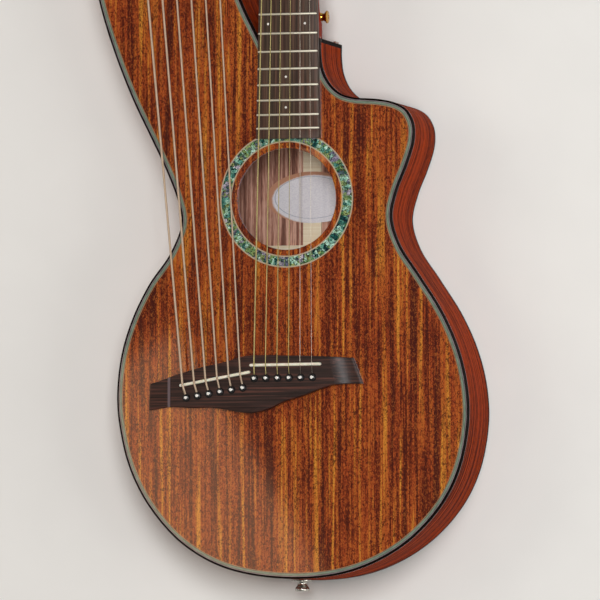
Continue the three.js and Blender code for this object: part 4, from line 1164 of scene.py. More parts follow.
ROSETTE_DEPTH, LINE_PROUD, SHELL_PROUD = 0.5, 0.06, 0.03
ROSETTE_SIDES = 160
TILE_SHARE = 0.985
TILE_STEPS = 3
TONE_SEED = 5
LABEL_CENTRE = (1, 165.5)
LABEL_HALF = (47.5, 26)
LABEL_SIDES = 96
LABEL_GAP, LABEL_THICKNESS = 0.05, 0.2
# The back's centre strip, which lifts the label's middle
STRIP_CENTRE, STRIP_HALF, STRIP_HEIGHT, DRAPE_RUN = 1.8, 9.5, 3, 6
DRAPE_CUTS = range(-16, 28)


class HARPGUITAR_OT_rosette(bpy.types.Operator):
    """Lays the rosette: shell pieces between two light lines"""
    bl_idname = "harpguitar.rosette"
    bl_label = "Rosette"

    def execute(self, context):
        size = context.scene.harpguitar_rosette
        inner, outer = size.shell_inner / MM, size.shell_outer / MM
        line = size.line_width / MM
        low = BODY_DEPTH - ROSETTE_DEPTH
        for name, near, far in (("inner", inner - line, inner), ("outer", outer, outer + line)):
            rims = [circle(HOLE_CENTRE, radius, ROSETTE_SIDES) for radius in (far, near)]
            place(f"rosette_{name}_line", plate(rims[0], rims[1:], low, BODY_DEPTH + LINE_PROUD), "ring")
        spread = math.pi / size.tiles * TILE_SHARE
        arc = [mix(-spread, spread, i / TILE_STEPS) for i in range(TILE_STEPS + 1)]
        rim = [(r * math.cos(a), r * math.sin(a)) for r, turns in
               ((outer, arc), (inner, arc[::-1])) for a in turns]
        tile = piece("rosette_shell", plate(rim, [], low, BODY_DEPTH + SHELL_PROUD), "shell")
        centre = [HOLE_CENTRE[0] * MM, HOLE_CENTRE[1] * MM, 0.0]
        repeat(tile, "ring", count=size.tiles, centre=centre, seed=TONE_SEED)
        keep(tile)
        return {"FINISHED"}


def drape(x):
    """How far a sheet lying on the back is lifted by the centre strip."""
    past = abs(x - STRIP_CENTRE) - STRIP_HALF
    return STRIP_HEIGHT * (1 - ease(past / DRAPE_RUN))


class HARPGUITAR_OT_label(bpy.types.Operator):
    """Lays a bare oval paper label on the back under the sound hole"""
    bl_idname = "harpguitar.label"
    bl_label = "Label"

    def execute(self, context):
        oval = [(LABEL_CENTRE[0] + LABEL_HALF[0] * x, LABEL_CENTRE[1] + LABEL_HALF[1] * y)
                for x, y in circle((0, 0), 1, LABEL_SIDES)]
        low = BACK_THICKNESS + LABEL_GAP
        paper = plate(oval, [], low, low + LABEL_THICKNESS)
        for x in DRAPE_CUTS:
            slice_up(paper, (x, 0, 0), (1, 0, 0))
        for v in paper.verts:
            v.co.z += drape(v.co.x)
        place("label", paper, "label")
        return {"FINISHED"}


# Bridge, saddles and pins

WING_LEFT = on_bridge((0.107, 0))[0]
CREST_TOP, CREST_FOOT = on_bridge((0.835, 1.2)), on_bridge((0.88, 0.4))
CREST_TURN = [(b - a) / away(CREST_FOOT, CREST_TOP) for a, b in zip(CREST_FOOT, CREST_TOP)]
CREST_OUT = (CREST_TURN[1], -CREST_TURN[0], 0)
WING_DROP = BRIDGE_TOP - WING_LEVEL
WING_RUN_RIGHT, WING_RUN_LEFT = 18, 5
SADDLES = {name: tuple(map(on_bridge, ends)) for name, ends in SADDLE_SHARES.items()}
PINS = {name: tuple(map(on_bridge, ends)) for name, ends in PIN_SHARES.items()}
CREST_ANGLE = 20
BRIDGE_EDGE = 0.7
CREST_CUTS, LEFT_CUTS = 10, 6
SLOT_GAP = 0.05
SLOT_TOP = 99
PIN_HOLE, PIN_HOLE_LOW = 2.7, 80
PIN_SIDES, PEARL_SIDES = 32, 24
PEARL_LOW, PEARL_EDGE, PEARL_TOP, PEARL_CROWN, PEARL_TOP_SHARE = 3.5, 3.94, 4.02, 4.06, 0.8
BAR_STEPS = 8
PIN_HEAD = 4
# Pairs of radius and height, with the head's full radius at PIN_HEAD
PIN_PROFILE = [
    (0, -12), (2.1, -12), (2.55, -0.4), (3.6, 0), (4, 0.5), (4, 0.9), (3.6, 1.3), (3.5, 1.7), (3.7, 2.1),
    (3.45, 2.9), (2.7, 3.5), (1.9, 3.78), (0, 3.9),
]


def bridge_height(x, y):
    """The bridge's upper face: flat, with a wing that falls away in a hollow curve at each end."""
    right = (x - CREST_FOOT[0]) * CREST_OUT[0] + (y - CREST_FOOT[1]) * CREST_OUT[1]
    for past, run in ((right, WING_RUN_RIGHT), (WING_LEFT - x, WING_RUN_LEFT)):
        if past > 0:
            return WING_LEVEL + WING_DROP * (1 - min(past / run, 1)) ** 2
    return BRIDGE_TOP


def bar_outline(ends, half, extra=0.0):
    """An outline round a straight bar with round ends."""
    (ax, ay), (bx, by) = ends
    angle = math.atan2(by - ay, bx - ax)
    reach = away(*ends) / 2 + extra
    middle = along(ends, 0.5)
    turns = [mix(-math.pi / 2, math.pi / 2, i / BAR_STEPS) for i in range(BAR_STEPS + 1)]
    spots = [(side * (reach - half + half * math.cos(t)), side * half * math.sin(t))
             for side in (-1, 1) for t in turns]
    return [(middle[0] + x * math.cos(angle) - y * math.sin(angle),
             middle[1] + x * math.sin(angle) + y * math.cos(angle)) for x, y in spots]


class HARPGUITAR_OT_bridge(bpy.types.Operator):
    """Shapes the bridge with its two wings, saddle slots and pin holes"""
    bl_idname = "harpguitar.bridge"
    bl_label = "Bridge"

    def execute(self, context):
        low_side, high_side = (spline([on_bridge(share) for share in shares])
                               for shares in (BRIDGE_LOW_SHARES, BRIDGE_HIGH_SHARES))
        block = plate(low_side + high_side, [], BODY_DEPTH, BRIDGE_TOP, top=BRIDGE_EDGE)
        for i in range(CREST_CUTS + 1):
            step = WING_RUN_RIGHT * i / CREST_CUTS
            spot = (CREST_FOOT[0] + CREST_OUT[0] * step, CREST_FOOT[1] + CREST_OUT[1] * step, 0)
            slice_up(block, spot, CREST_OUT)
        for i in range(LEFT_CUTS + 1):
            slice_up(block, (WING_LEFT - WING_RUN_LEFT * i / LEFT_CUTS, 0, 0), (1, 0, 0))
        for v in block.verts:
            if v.co.z > WING_LEVEL:
                v.co.z += bridge_height(v.co.x, v.co.y) - BRIDGE_TOP
        thing = piece("bridge_wood", block, "bridge", smooth=CREST_ANGLE)
        tools = []
        for ends in SADDLES.values():
            outline = bar_outline(ends, SADDLE_THICKNESS / 2 + SLOT_GAP, SLOT_GAP)
            tools.append(plate(outline, [], SADDLE_FLOOR, SLOT_TOP))
        for ends in PINS.values():
            for i in range(len(STRINGS)):
                x, y = along(ends, i / (len(STRINGS) - 1))
                tools.append(rod(PIN_HOLE, (x, y, PIN_HOLE_LOW), (x, y, SLOT_TOP), PEARL_SIDES))
        carve(thing, tools, angle=CREST_ANGLE)
        keep(thing, "bridge")
        return {"FINISHED"}


class HARPGUITAR_OT_saddles(bpy.types.Operator):
    """Sets the two saddles in their slots, with rounded crowns"""
    bl_idname = "harpguitar.saddles"
    bl_label = "Saddles"

    def execute(self, context):
        crown = context.scene.harpguitar_bridge.saddle_crown / MM
        for name, ends in SADDLES.items():
            outer = bar_outline(ends, SADDLE_THICKNESS / 2)
            bar = plate(outer, [], SADDLE_FLOOR, SADDLE_CROWN, top=crown)
            place(f"{name}_saddle_bone", bar, "bone", f"{name}_saddle")
        return {"FINISHED"}


class HARPGUITAR_OT_pins(bpy.types.Operator):
    """Sets the two rows of bridge pins, each pin with its pearl dot"""
    bl_idname = "harpguitar.pins"
    bl_label = "Bridge Pins"

    def execute(self, context):
        size = context.scene.harpguitar_bridge
        head = size.pin_head / MM / PIN_HEAD
        radius = size.pearl_radius / MM
        profile = [(r * head, z) for r, z in PIN_PROFILE]
        dot = [(0, PEARL_LOW), (radius, PEARL_LOW), (radius, PEARL_EDGE),
               (radius * PEARL_TOP_SHARE, PEARL_TOP), (0, PEARL_CROWN)]
        for name, ends in PINS.items():
            spots = [(x, y, BRIDGE_TOP) for x, y in ends]
            place_row(f"{name}_pins", lathe(profile, PIN_SIDES), "pin", len(STRINGS), *spots)
            place_row(f"{name}_pearls", lathe(dot, PEARL_SIDES), "pearl", len(STRINGS), *spots)
        return {"FINISHED"}


# Neck and fingerboard

NUT_LINE = 648
VENEER = 1.6
VENEER_BACK = VENEER + HAIR
HEAD_STEPS = 8
POST_HOLE, HOLE_LOW, HOLE_HIGH = 3.6, -25, 10
NECK_SIDES, HEEL_STEPS, SHAFT_STEPS = 48, 40, 30
# The round shaft turns into the headstock's flat slab over this run.
BLEND_START, BLEND_RUN, BLEND_STEPS = 640, 44, 18
SLAB_SQUARENESS = 0.22
SLAB_NARROW, SLAB_WIDE, SLAB_RUN = 0.64, 0.93, 18
SLAB_INSET, SLAB_BACK_INSET = 0.3, 0.1
SLAB_EDGE = {MAIN: 1.6, BASS: 1.8}
VENEER_START = {MAIN: 0.3, BASS: 0.2}
VENEER_EDGE, VENEER_REACH = 0.5, 8
CHANNEL_HALF, CHANNEL_LOW, CHANNEL_HIGH, CHANNEL_ENDS = 2.5, 80, 95, (325, 642.3)
SEAT_RADIUS, SEAT_REACH, SEAT_SIDES = 6.8, 20, 48
SCREW_HOLE, SCREW_HOLE_DEPTH, SCREW_HOLE_OVERRUN = 1.8, 14.3, 5
STRAP_SEAT, STRAP_Y, STRAP_LEVEL = 22.08, 343, 53
BOARD_START, BOARD_EDGE = 647.7, 0.9
FRET_SLOT_HALF, FRET_SLOT_REACH, FRET_SLOT_LOW, FRET_SLOT_HIGH = 0.3, 40, 92.6, 95
TANG_HALF, TANG_DEPTH = 0.28, 1.3
CROWN_STEPS = 10
# A fret's ends are eased to this share of its section.
FRET_END_SHARE = 0.55
FRET_INSET = 0.4
DOT_FRETS, DOUBLE_DOT_FRET = (3, 5, 7, 9, 12, 15, 17), 12
DOT_X, DOUBLE_DOT_X = (-1.9,), (-20.3, 17.7)
DOT_DEPTH, DOT_PROUD, DOT_SIDES = 1, 0.03, 24
NUT_EDGE = 0.3


def board_half(y):
    return mix(NUT_HALF, BOARD_END_HALF, (NUT_LINE - y) / (NUT_LINE - BOARD_END_Y))


def neck_point(around, y):
    """A point of the neck's underside, from one edge of the board round to the other."""
    across, down = math.cos(around), math.sin(around)
    share = min((y - NECK_START) / HEEL_LENGTH, 1)
    heel = min(((1 - share) / (1 - HEEL_CAP_SHARE)) ** 2, 1)
    shaft = mix(SHAFT_AT_HEEL, SHAFT_AT_NUT, (y - NECK_START) / (NUT_END - NECK_START))
    depth = mix(shaft, HEEL_DEPTH, heel)
    squared = math.copysign(abs(across) ** mix(1, HEEL_SQUARENESS, heel), across)
    half = board_half(min(y, NUT_LINE)) * (1 - heel * HEEL_TAPER_SHARE * down)
    return Vector((half * squared, y, BODY_DEPTH - depth * down))


def head_outline(head):
    """A headstock's outline in its own frame, smooth round its corners."""
    corners = [(x * head.half_width, y * head.reach) for x, y in head.shares]
    line = spline([*corners, (-corners[-2][0], corners[-2][1])], HEAD_STEPS)
    line = line[:HEAD_STEPS * (len(corners) - 1) + 1]
    return line + [(-x, y) for x, y in line[-2::-1]]


def post_holes(head):
    """Cutters for a headstock's post holes."""
    holes = [rod(POST_HOLE, (x, y, HOLE_LOW), (x, y, HOLE_HIGH)) for x, y in head.posts()]
    return [moved(hole, head.matrix) for hole in holes]


def head_slab(name, head):
    """A headstock's slab under its veneer."""
    slab = plate(head_outline(head), [], -head.thickness, -VENEER, under=SLAB_EDGE[name])
    return moved(slab, head.matrix)


def place_veneer(name, head):
    """Lays the veneer on a headstock's face, from a little past its nut."""
    start = VENEER_START[name]
    outer = [(x, y) for x, y in head_outline(head) if y >= start]
    half = max(x for x, y in outer if y < start + VENEER_REACH)
    holes = [circle(spot, POST_HOLE, ROD_SIDES) for spot in head.posts()]
    board = plate([(half, start), *outer, (-half, start)], holes, -VENEER, 0, top=VENEER_EDGE)
    place(f"{name}_head_veneer", moved(board, head.matrix), "veneer")


def neck_to_head(head, share):
    """A ring of points on the way from the shaft to the headstock, where the share runs from 0 to 1."""
    inverse = head.matrix.inverted()
    y = BLEND_START + BLEND_RUN * share
    past = y - NUT_END
    width = mix(SLAB_NARROW, SLAB_WIDE, min(max(past / SLAB_RUN, 0), 1)) * head.half_width - SLAB_INSET
    depth = head.thickness - VENEER - SLAB_BACK_INSET
    ring = []
    for i in range(NECK_SIDES + 1):
        turn = math.pi * i / NECK_SIDES
        across, down = math.cos(turn), math.sin(turn)
        shaft = neck_point(turn, min(y, NUT_END))
        shaft.y = y
        flat = Vector((width * math.copysign(abs(across) ** SLAB_SQUARENESS, across), past,
                       -VENEER_BACK - depth * abs(down) ** SLAB_SQUARENESS))
        spot = shaft.lerp(head.matrix @ flat, ease(share))
        if past > 0:
            low = inverse @ spot
            low.z = min(low.z, -VENEER_BACK)
            spot = head.matrix @ low
        ring.append(spot)
    return ring


class HARPGUITAR_OT_neck(bpy.types.Operator):
    """Carves the neck with its heel, shaft and main headstock in one"""
    bl_idname = "harpguitar.neck"
    bl_label = "Neck"

    def execute(self, context):
        head = HEADS[MAIN]
        heel_end = NECK_START + HEEL_LENGTH
        stations = [mix(NECK_START, heel_end, i / HEEL_STEPS) for i in range(HEEL_STEPS)]
        stations += [mix(heel_end, BLEND_START, i / SHAFT_STEPS) for i in range(SHAFT_STEPS + 1)]
        turns = [math.pi * i / NECK_SIDES for i in range(NECK_SIDES + 1)]
        rings = [[neck_point(a, y) for a in turns] for y in stations]
        rings += [neck_to_head(head, (i + 1) / BLEND_STEPS) for i in range(BLEND_STEPS)]
        shaft = piece("neck_wood", loft(rings), "neck")
        carve(shaft, [head_slab(MAIN, head)], "UNION")
        section = [(-CHANNEL_HALF, CHANNEL_LOW), (CHANNEL_HALF, CHANNEL_LOW),
                   (CHANNEL_HALF, CHANNEL_HIGH), (-CHANNEL_HALF, CHANNEL_HIGH)]
        channel = loft([[(x, y, z) for x, z in section] for y in CHANNEL_ENDS])
        at_strap = [(STRAP_SEAT + shift, STRAP_Y, STRAP_LEVEL)
                    for shift in (0, SEAT_REACH, -SCREW_HOLE_DEPTH, SCREW_HOLE_OVERRUN)]
        seat = rod(SEAT_RADIUS, *at_strap[:2], SEAT_SIDES)
        screw = rod(SCREW_HOLE, *at_strap[2:])
        carve(shaft, [*post_holes(head), channel, seat, screw])
        keep(shaft, "neck")
        place_veneer(MAIN, head)
        return {"FINISHED"}


class HARPGUITAR_OT_fingerboard(bpy.types.Operator):
    """Builds the fingerboard with its frets and position dots"""
    bl_idname = "harpguitar.fingerboard"
    bl_label = "Fingerboard"

    def execute(self, context):
        size = context.scene.harpguitar_neck
        outer = [(-BOARD_END_HALF, BOARD_END_Y), (BOARD_END_HALF, BOARD_END_Y),
                 (NUT_HALF, BOARD_START), (-NUT_HALF, BOARD_START)]
        places = [size.scale_length / MM * 2 ** (-n / FRETS_PER_OCTAVE) for n in range(size.frets + 1)]
        thing = piece("board", plate(outer, [], BODY_DEPTH, BOARD_TOP, top=BOARD_EDGE), "board")
        corners = [(-1, -1), (1, -1), (1, 1), (-1, 1)]
        slots = [plate([(FRET_SLOT_REACH * a, y + FRET_SLOT_HALF * b) for a, b in corners], [],
                       FRET_SLOT_LOW, FRET_SLOT_HIGH) for y in places[1:]]
        carve(thing, [joined(*slots)])
        keep(thing, "fingerboard")
        frets = piece("frets", fret_bar(size.fret_width / MM / 2, size.fret_height / MM), "fret")
        repeat(frets, "frets", count=size.frets, scale_length=size.scale_length,
               end_place=BOARD_END_Y * MM, nut_half_width=NUT_HALF * MM,
               end_half_width=BOARD_END_HALF * MM, inset=FRET_INSET * MM, level=BOARD_TOP * MM)
        keep(frets)
        radius = size.dot_radius / MM
        dot = [(0, -DOT_DEPTH), (radius, -DOT_DEPTH), (radius, DOT_PROUD), (0, DOT_PROUD)]
        dots = []
        for fret in DOT_FRETS:
            middle = (places[fret] + places[fret - 1]) / 2
            for x in DOUBLE_DOT_X if fret == DOUBLE_DOT_FRET else DOT_X:
                dots.append(moved(lathe(dot, DOT_SIDES), Matrix.Translation((x, middle, BOARD_TOP))))
        place("position_dots", joined(*dots), "pearl")
        return {"FINISHED"}


def fret_bar(half, tall):
    """A fret with its tang, whose length along X is one metre once it is made, for the tree to scale."""
    turns = [math.pi * i / CROWN_STEPS for i in range(CROWN_STEPS + 1)]
    section = [(half * math.cos(a), tall * math.sin(a) - HAIR) for a in turns]
    section += [(-TANG_HALF, -HAIR), (-TANG_HALF, -TANG_DEPTH), (TANG_HALF, -TANG_DEPTH),
                (TANG_HALF, -HAIR)]
    ends = ((-0.5, FRET_END_SHARE), (-0.5 + HAIR, 1), (0.5 - HAIR, 1), (0.5, FRET_END_SHARE))
    return loft([[(x / MM, y * wide, z * wide if z > 0 else z) for y, z in section] for x, wide in ends])


class HARPGUITAR_OT_nuts(bpy.types.Operator):
    """Eases the edges of the two slotted nuts"""
    bl_idname = "harpguitar.nuts"
    bl_label = "Nuts"

    def execute(self, context):
        for name in (MAIN, BASS):
            place(f"{name}_nut_bone", merged(f"{name}_nut"), "bone", f"{name}_nut", bevel=NUT_EDGE)
        return {"FINISHED"}


BLOCK_EDGE = 2.5
PLUG_INSET, PLUG_START, PLUG_LOW, PLUG_HIGH = 2.9, 712, 33.1, 85
# The tongue joins the plug to the block through the arm's open end.
TONGUE_INSET, TONGUE_LOW, TONGUE_HIGH = 6, 36, 84.9


class HARPGUITAR_OT_bass_headstock(bpy.types.Operator):
    """Builds the block, the plug and the slab at the end of the bass arm"""
    bl_idname = "harpguitar.bass_headstock"
    bl_label = "Bass Headstock"

    def execute(self, context):
        head = HEADS[BASS]
        left, right = RIM[0][0], ARM[-1][0]
        start = ARM_END + GLUE_GAP
        far_left, far_right = ((x, BASS_NUT_LINE + (x - head.origin[0]) * math.tan(head.lean))
                               for x in (left, right))
        outer = [(left, start), (right, start), far_right, far_left]
        wood = plate(outer, [], ARM_TIP_RISE, BODY_DEPTH - HAIR, under=BLOCK_EDGE)
        block = piece("bass_head_wood", wood, "neck")
        edge = [p for p in inset(RIM, PLUG_INSET) if p[1] > PLUG_START]
        inner = [p for p in inset(ARM, PLUG_INSET) if p[1] > PLUG_START]
        plug = plate([*edge, (edge[-1][0], PLUG_START), (inner[0][0], PLUG_START), *inner], [],
                     PLUG_LOW, PLUG_HIGH)
        near, far = left + TONGUE_INSET, right - TONGUE_INSET
        section = [(near, TONGUE_LOW), (far, TONGUE_LOW), (far, TONGUE_HIGH), (near, TONGUE_HIGH)]
        tongue = loft([[(x, y, z) for x, z in section]
                       for y in (ARM_END - TONGUE_INSET, ARM_END + TONGUE_INSET)])
        carve(block, [head_slab(BASS, head), plug, tongue], "UNION")
        carve(block, post_holes(head))
        keep(block, "bass_headstock")
        place_veneer(BASS, head)
        return {"FINISHED"}


# Tuners

GEAR_TEETH = 12
GEAR_TIP, GEAR_PITCH, GEAR_ROOT, GEAR_THICKNESS = 6.1, 4.9, 4.4, 2.4
# A gear tooth's corners, as pairs of radius and share of a tooth
TOOTH = ((GEAR_TIP, -0.1), (GEAR_TIP, 0.1), (GEAR_PITCH, 0.27), (GEAR_ROOT, 0.4), (GEAR_ROOT, 0.6),
         (GEAR_PITCH, 0.73))
STRING_HOLE = {MAIN: 0.9, BASS: 1.4}
STRING_HOLE_REACH = 6
# Above the gear, as pairs of radius and height
POST_PROFILE = [
    (POST_RADIUS, 2), (2.92, 2.5), (WAIST_RADIUS, 3), (WAIST_RADIUS, 11.8), (3, 12.3), (3.4, 12.7),
    (3.5, 13.1), (3.5, 13.6), (3.35, 13.9), (3, 14), (0.9, 14), (0.7, 13.8), (0, 13.7),
]
# The collar between a tuner's shaft and its knob, measured from the knob's start
COLLAR = [(2.9, 0.1), (3.1, 0.9), (2.9, 1.6)]
KNOB_STEPS, KNOB_SIDES = 6, 40
KNOB_FLATTEN_RUN = 2.5
THREAD_TURNS, THREAD_STEPS, THREAD_SIDES = 1.5, 36, 10
PLATE_EDGE = 0.25
BUSHING_BORE, BUSHING_SLEEVE, BUSHING_DEPTH = 3.35, 3.57, 4
BUSHING_RIM, BUSHING_SLOPE, BUSHING_LIP = 0.4, (0.5, 0.9), [(3.9, 1.15), (3.35, 1)]
SCREW_SHAFT, SCREW_DEPTH, SCREW_RIM, SCREW_DOME_SHARE, SCREW_DOME = 1, 3, 0.35, 0.6, (0.85, 0.95)
SMALL_SIDES = 20
SCREW_ACROSS, SCREW_FIRST, SCREW_SPAN = 6.1, 30, 92.8


def row_and_side(index):
    """A string's side of the headstock and its row of posts, from the lowest string's index."""
    return (-1, index) if index < 3 else (1, 5 - index)


class HARPGUITAR_OT_posts(bpy.types.Operator):
    """Turns the twelve tuner posts with their gears"""
    bl_idname = "harpguitar.posts"
    bl_label = "Tuner Posts"

    def execute(self, context):
        for name, head in HEADS.items():
            for index, number in enumerate(STRINGS):
                node = f"{name}_post_{number}"
                px, py = head.post(*row_and_side(index))
                z = head.worm_axis
                post = lathe([(0, z), (POST_RADIUS, z), *POST_PROFILE], ROD_SIDES)
                spindle = piece(f"{node}_metal", moved(post, Matrix.Translation((px, py, 0))), "nickel")
                corners = []
                for tooth in range(GEAR_TEETH):
                    for radius, share in TOOTH:
                        angle = 2 * math.pi * (tooth + 0.5 + share) / GEAR_TEETH - math.pi / 2
                        corners.append((px + radius * math.cos(angle), py + radius * math.sin(angle)))
                gear = plate(corners, [], z - GEAR_THICKNESS / 2, z + GEAR_THICKNESS / 2)
                carve(spindle, [gear], "UNION")
                ends = [(px + side * STRING_HOLE_REACH, py, STRING_HOLE_HEIGHT) for side in (-1, 1)]
                carve(spindle, [rod(STRING_HOLE[name], *ends, SMALL_SIDES)])
                spindle.data.transform(in_frame(head))
                keep(spindle, node, body=node)
        return {"FINISHED"}


def in_frame(head):
    """A headstock's frame for meshes that are already in metres."""
    matrix = head.matrix.copy()
    matrix.translation *= MM
    return matrix


class HARPGUITAR_OT_buttons(bpy.types.Operator):
    """Shapes the twelve tuner buttons, each with its shaft and worm"""
    bl_idname = "harpguitar.buttons"
    bl_label = "Tuner Buttons"

    def execute(self, context):
        for name, head in HEADS.items():
            for index, number in enumerate(STRINGS):
                node = f"{name}_button_{number}"
                side, row = row_and_side(index)
                px, py = head.post(side, row)
                y, z = py - WORM_DISTANCE, head.worm_axis
                start = head.half_width + KNOB_GAP - side * px
                knob = spline([(across * KNOB_WIDTH / 2, start + up * KNOB_LENGTH)
                               for across, up in KNOB_SHARES], KNOB_STEPS)
                collar = [(radius, start + up) for radius, up in COLLAR]
                profile = [(0, -SHAFT_END), (SHAFT_RADIUS, -SHAFT_END), (SHAFT_RADIUS, start),
                           *collar, *knob[1:-1], (0, knob[-1][1])]
                shaft = lathe(profile, KNOB_SIDES)
                for v in shaft.verts:
                    flat = ease((v.co.z - start) / KNOB_FLATTEN_RUN)
                    v.co.x *= mix(1, KNOB_THICKNESS / KNOB_WIDTH, flat)
                turn = Matrix.Translation((px, y, z)) @ Matrix.Rotation(side * math.pi / 2, 4, "Y")
                thread = []
                for i in range(THREAD_STEPS + 1):
                    t = THREAD_TURNS * (i / THREAD_STEPS - 0.5)
                    thread.append((px + THREAD_PITCH * t, y + THREAD_CENTRE * math.cos(2 * math.pi * t),
                                   z + THREAD_CENTRE * math.sin(2 * math.pi * t)))
                whole = joined(moved(shaft, turn), tube(thread, THREAD_RADIUS, THREAD_SIDES))
                place(f"{node}_metal", moved(whole, head.matrix), "nickel", node, body=node)
        return {"FINISHED"}


class HARPGUITAR_OT_plates(bpy.types.Operator):
    """Finishes the four tuner plates, and adds their screws and the posts' bushings"""
    bl_idname = "harpguitar.plates"
    bl_label = "Plates, Screws and Bushings"

    def execute(self, context):
        size = context.scene.harpguitar_metal
        outer, radius = size.bushing_radius / MM, size.screw_radius / MM
        bushing = [
            (BUSHING_BORE, -BUSHING_DEPTH), (BUSHING_SLEEVE, -BUSHING_DEPTH), (BUSHING_SLEEVE, HAIR),
            (outer, HAIR), (outer, BUSHING_RIM), (outer - BUSHING_SLOPE[0], BUSHING_SLOPE[1]),
            *BUSHING_LIP, (BUSHING_BORE, -BUSHING_DEPTH),
        ]
        screw = [(0, SCREW_DEPTH), (SCREW_SHAFT, SCREW_DEPTH), (SCREW_SHAFT, 0), (radius, 0),
                 (radius, -SCREW_RIM), (radius * SCREW_DOME_SHARE, -SCREW_DOME[0]), (0, -SCREW_DOME[1])]
        for name, head in HEADS.items():
            turn = (-head.tilt, 0, head.lean)
            for word, side in (("left", -1), ("right", 1)):
                node = f"{name}_plate_{word}"
                place(f"{node}_metal", merged(node), "nickel", node, bevel=PLATE_EDGE)
                ends = [head.matrix @ Vector((*head.post(side, row), 0))
                        for row in (0, POSTS_PER_ROW - 1)]
                place_row(f"{name}_bushings_{word}", lathe(bushing, ROD_SIDES), "nickel", POSTS_PER_ROW,
                          *ends, turn)
                for label, across in (("a", -SCREW_ACROSS), ("b", SCREW_ACROSS)):
                    x = side * head.post_offset + across
                    pair = [head.matrix @ Vector((x, y, head.plate_back))
                            for y in (SCREW_FIRST, SCREW_FIRST + SCREW_SPAN)]
                    place_row(f"{name}_screws_{word}_{label}", lathe(screw, SMALL_SIDES), "nickel", 2,
                              *pair, turn)
        return {"FINISHED"}


# Strings

WOUND_STRINGS = 4
STRING_SIDES, STRING_ANGLE = 12, 60
BALL_GAP = 0.3
MOUTH_SHARE, MOUTH_DROP = 0.1, 1.2
# A string bends over its saddle and its nut at these distances from the crown.
SADDLE_RISE, SADDLE_RUN, SADDLE_LIFT = (1.2, 0.3), (0.4, 1.5), 0.02
NUT_BEND = 0.5
COIL_GAP, TURN_GAP, TURN_STEPS = 0.05, 0.3, 24


def string_route(name, index):
    """A string's path over its saddle and nut and round its post, in millimetres."""
    head = HEADS[name]
    radius = DIAMETERS[name][index] / 2
    lift = radius + bpy.context.scene.harpguitar_strings.clearance / MM
    share = index / (len(STRINGS) - 1)
    px, py = along(PINS[name], share)
    first, last = CROSSING_SHARES[name]
    sx, sy = along(SADDLES[name], mix(first, last, share))
    across = NUT_OFFSET[name] + (share - 0.5) * NUT_SPREAD[name]
    nx = head.origin[0] + across
    ny = NUT_FAR_EDGE[name] + across * math.tan(head.lean)
    mouth = Vector((*along(((px, py), (sx, sy)), MOUTH_SHARE), BRIDGE_TOP + lift))
    top = Vector((sx, sy, SADDLE_CROWN + lift))
    rest = Vector((nx, ny, SLOT_LEVEL[name] + lift))
    rise = (mouth - top).normalized()
    run = (rest - top).normalized()
    points = [
        Vector((px, py, PAD_LEVEL - BALL_RADIUS - BALL_GAP)), Vector((px, py, mouth.z - MOUTH_DROP)),
        mouth, top + rise * SADDLE_RISE[0],
        top + rise * SADDLE_RISE[1] + Vector((0, 0, SADDLE_LIFT)),
        *[top + run * reach for reach in SADDLE_RUN],
    ]
    side, row = row_and_side(index)
    cx, cy = head.post(side, row)
    inverse = head.matrix.inverted()
    nut = inverse @ rest
    reach = WAIST_RADIUS + radius + COIL_GAP
    far = math.hypot(nut.x - cx, nut.y - cy)
    start = math.atan2(nut.y - cy, nut.x - cx) - side * math.acos(reach / far)
    turns = bpy.context.scene.harpguitar_strings.winding_turns
    pitch = 2 * radius + TURN_GAP
    steps = int(turns * TURN_STEPS)
    coil = []
    for i in range(steps + 1):
        done = turns * i / steps
        angle = start - side * 2 * math.pi * done
        level = STRING_HOLE_HEIGHT - pitch * (turns - done)
        spot = Vector((cx + reach * math.cos(angle), cy + reach * math.sin(angle), level))
        coil.append(head.matrix @ spot)
    points += [rest - run * NUT_BEND, rest + (coil[0] - rest).normalized() * NUT_BEND]
    return points + coil, radius


class HARPGUITAR_OT_strings(bpy.types.Operator):
    """Runs the twelve strings from their balls to their posts"""
    bl_idname = "harpguitar.strings"
    bl_label = "Strings"

    def execute(self, context):
        for name in HEADS:
            for index, number in enumerate(STRINGS):
                node = f"{name}_string_{number}"
                points, radius = string_route(name, index)
                key = "silk" if name == BASS else "bronze" if index < WOUND_STRINGS else "steel"
                x, y, z = points[0]
                ends = [(x + side * BALL_LENGTH / 2, y, z) for side in (-1, 1)]
                ball = rod(BALL_RADIUS, *ends, SMALL_SIDES)
                whole = joined(tube(points, radius, STRING_SIDES), ball)
                place(f"{node}_wound", whole, key, node, smooth=STRING_ANGLE)
        return {"FINISHED"}


# Strap fittings and the parts inside

FITTING_SIDES = 64
# Pairs of radius and height, measured from the seat
STRAP_PROFILE = [
    (0, -14), (1.5, -14), (1.5, 0.3), (4.5, 0.3), (4.8, 0.7), (4.6, 1.4), (4.05, 2.6), (3.8, 4),
    (4, 5.2), (4.9, 6.3), (6.1, 6.9), (6.5, 7.5), (6.45, 8.2), (5.9, 8.7), (4.6, 8.95), (2.3, 9),
    (2.1, 8.7), (0, 8.6),
]
END_PROFILE = [
    (0, -31.7), (4.3, -31.7), (4.3, 0.3), (10.6, 0.3), (11, 0.7), (10.9, 1.4), (10.2, 1.9), (5.5, 2.1),
    (5, 2.7), (4.9, 4.2), (5.1, 6), (6.4, 7.7), (7.3, 9), (7.5, 10.2), (7.2, 11.3), (6.2, 11.9), (0, 12),
]


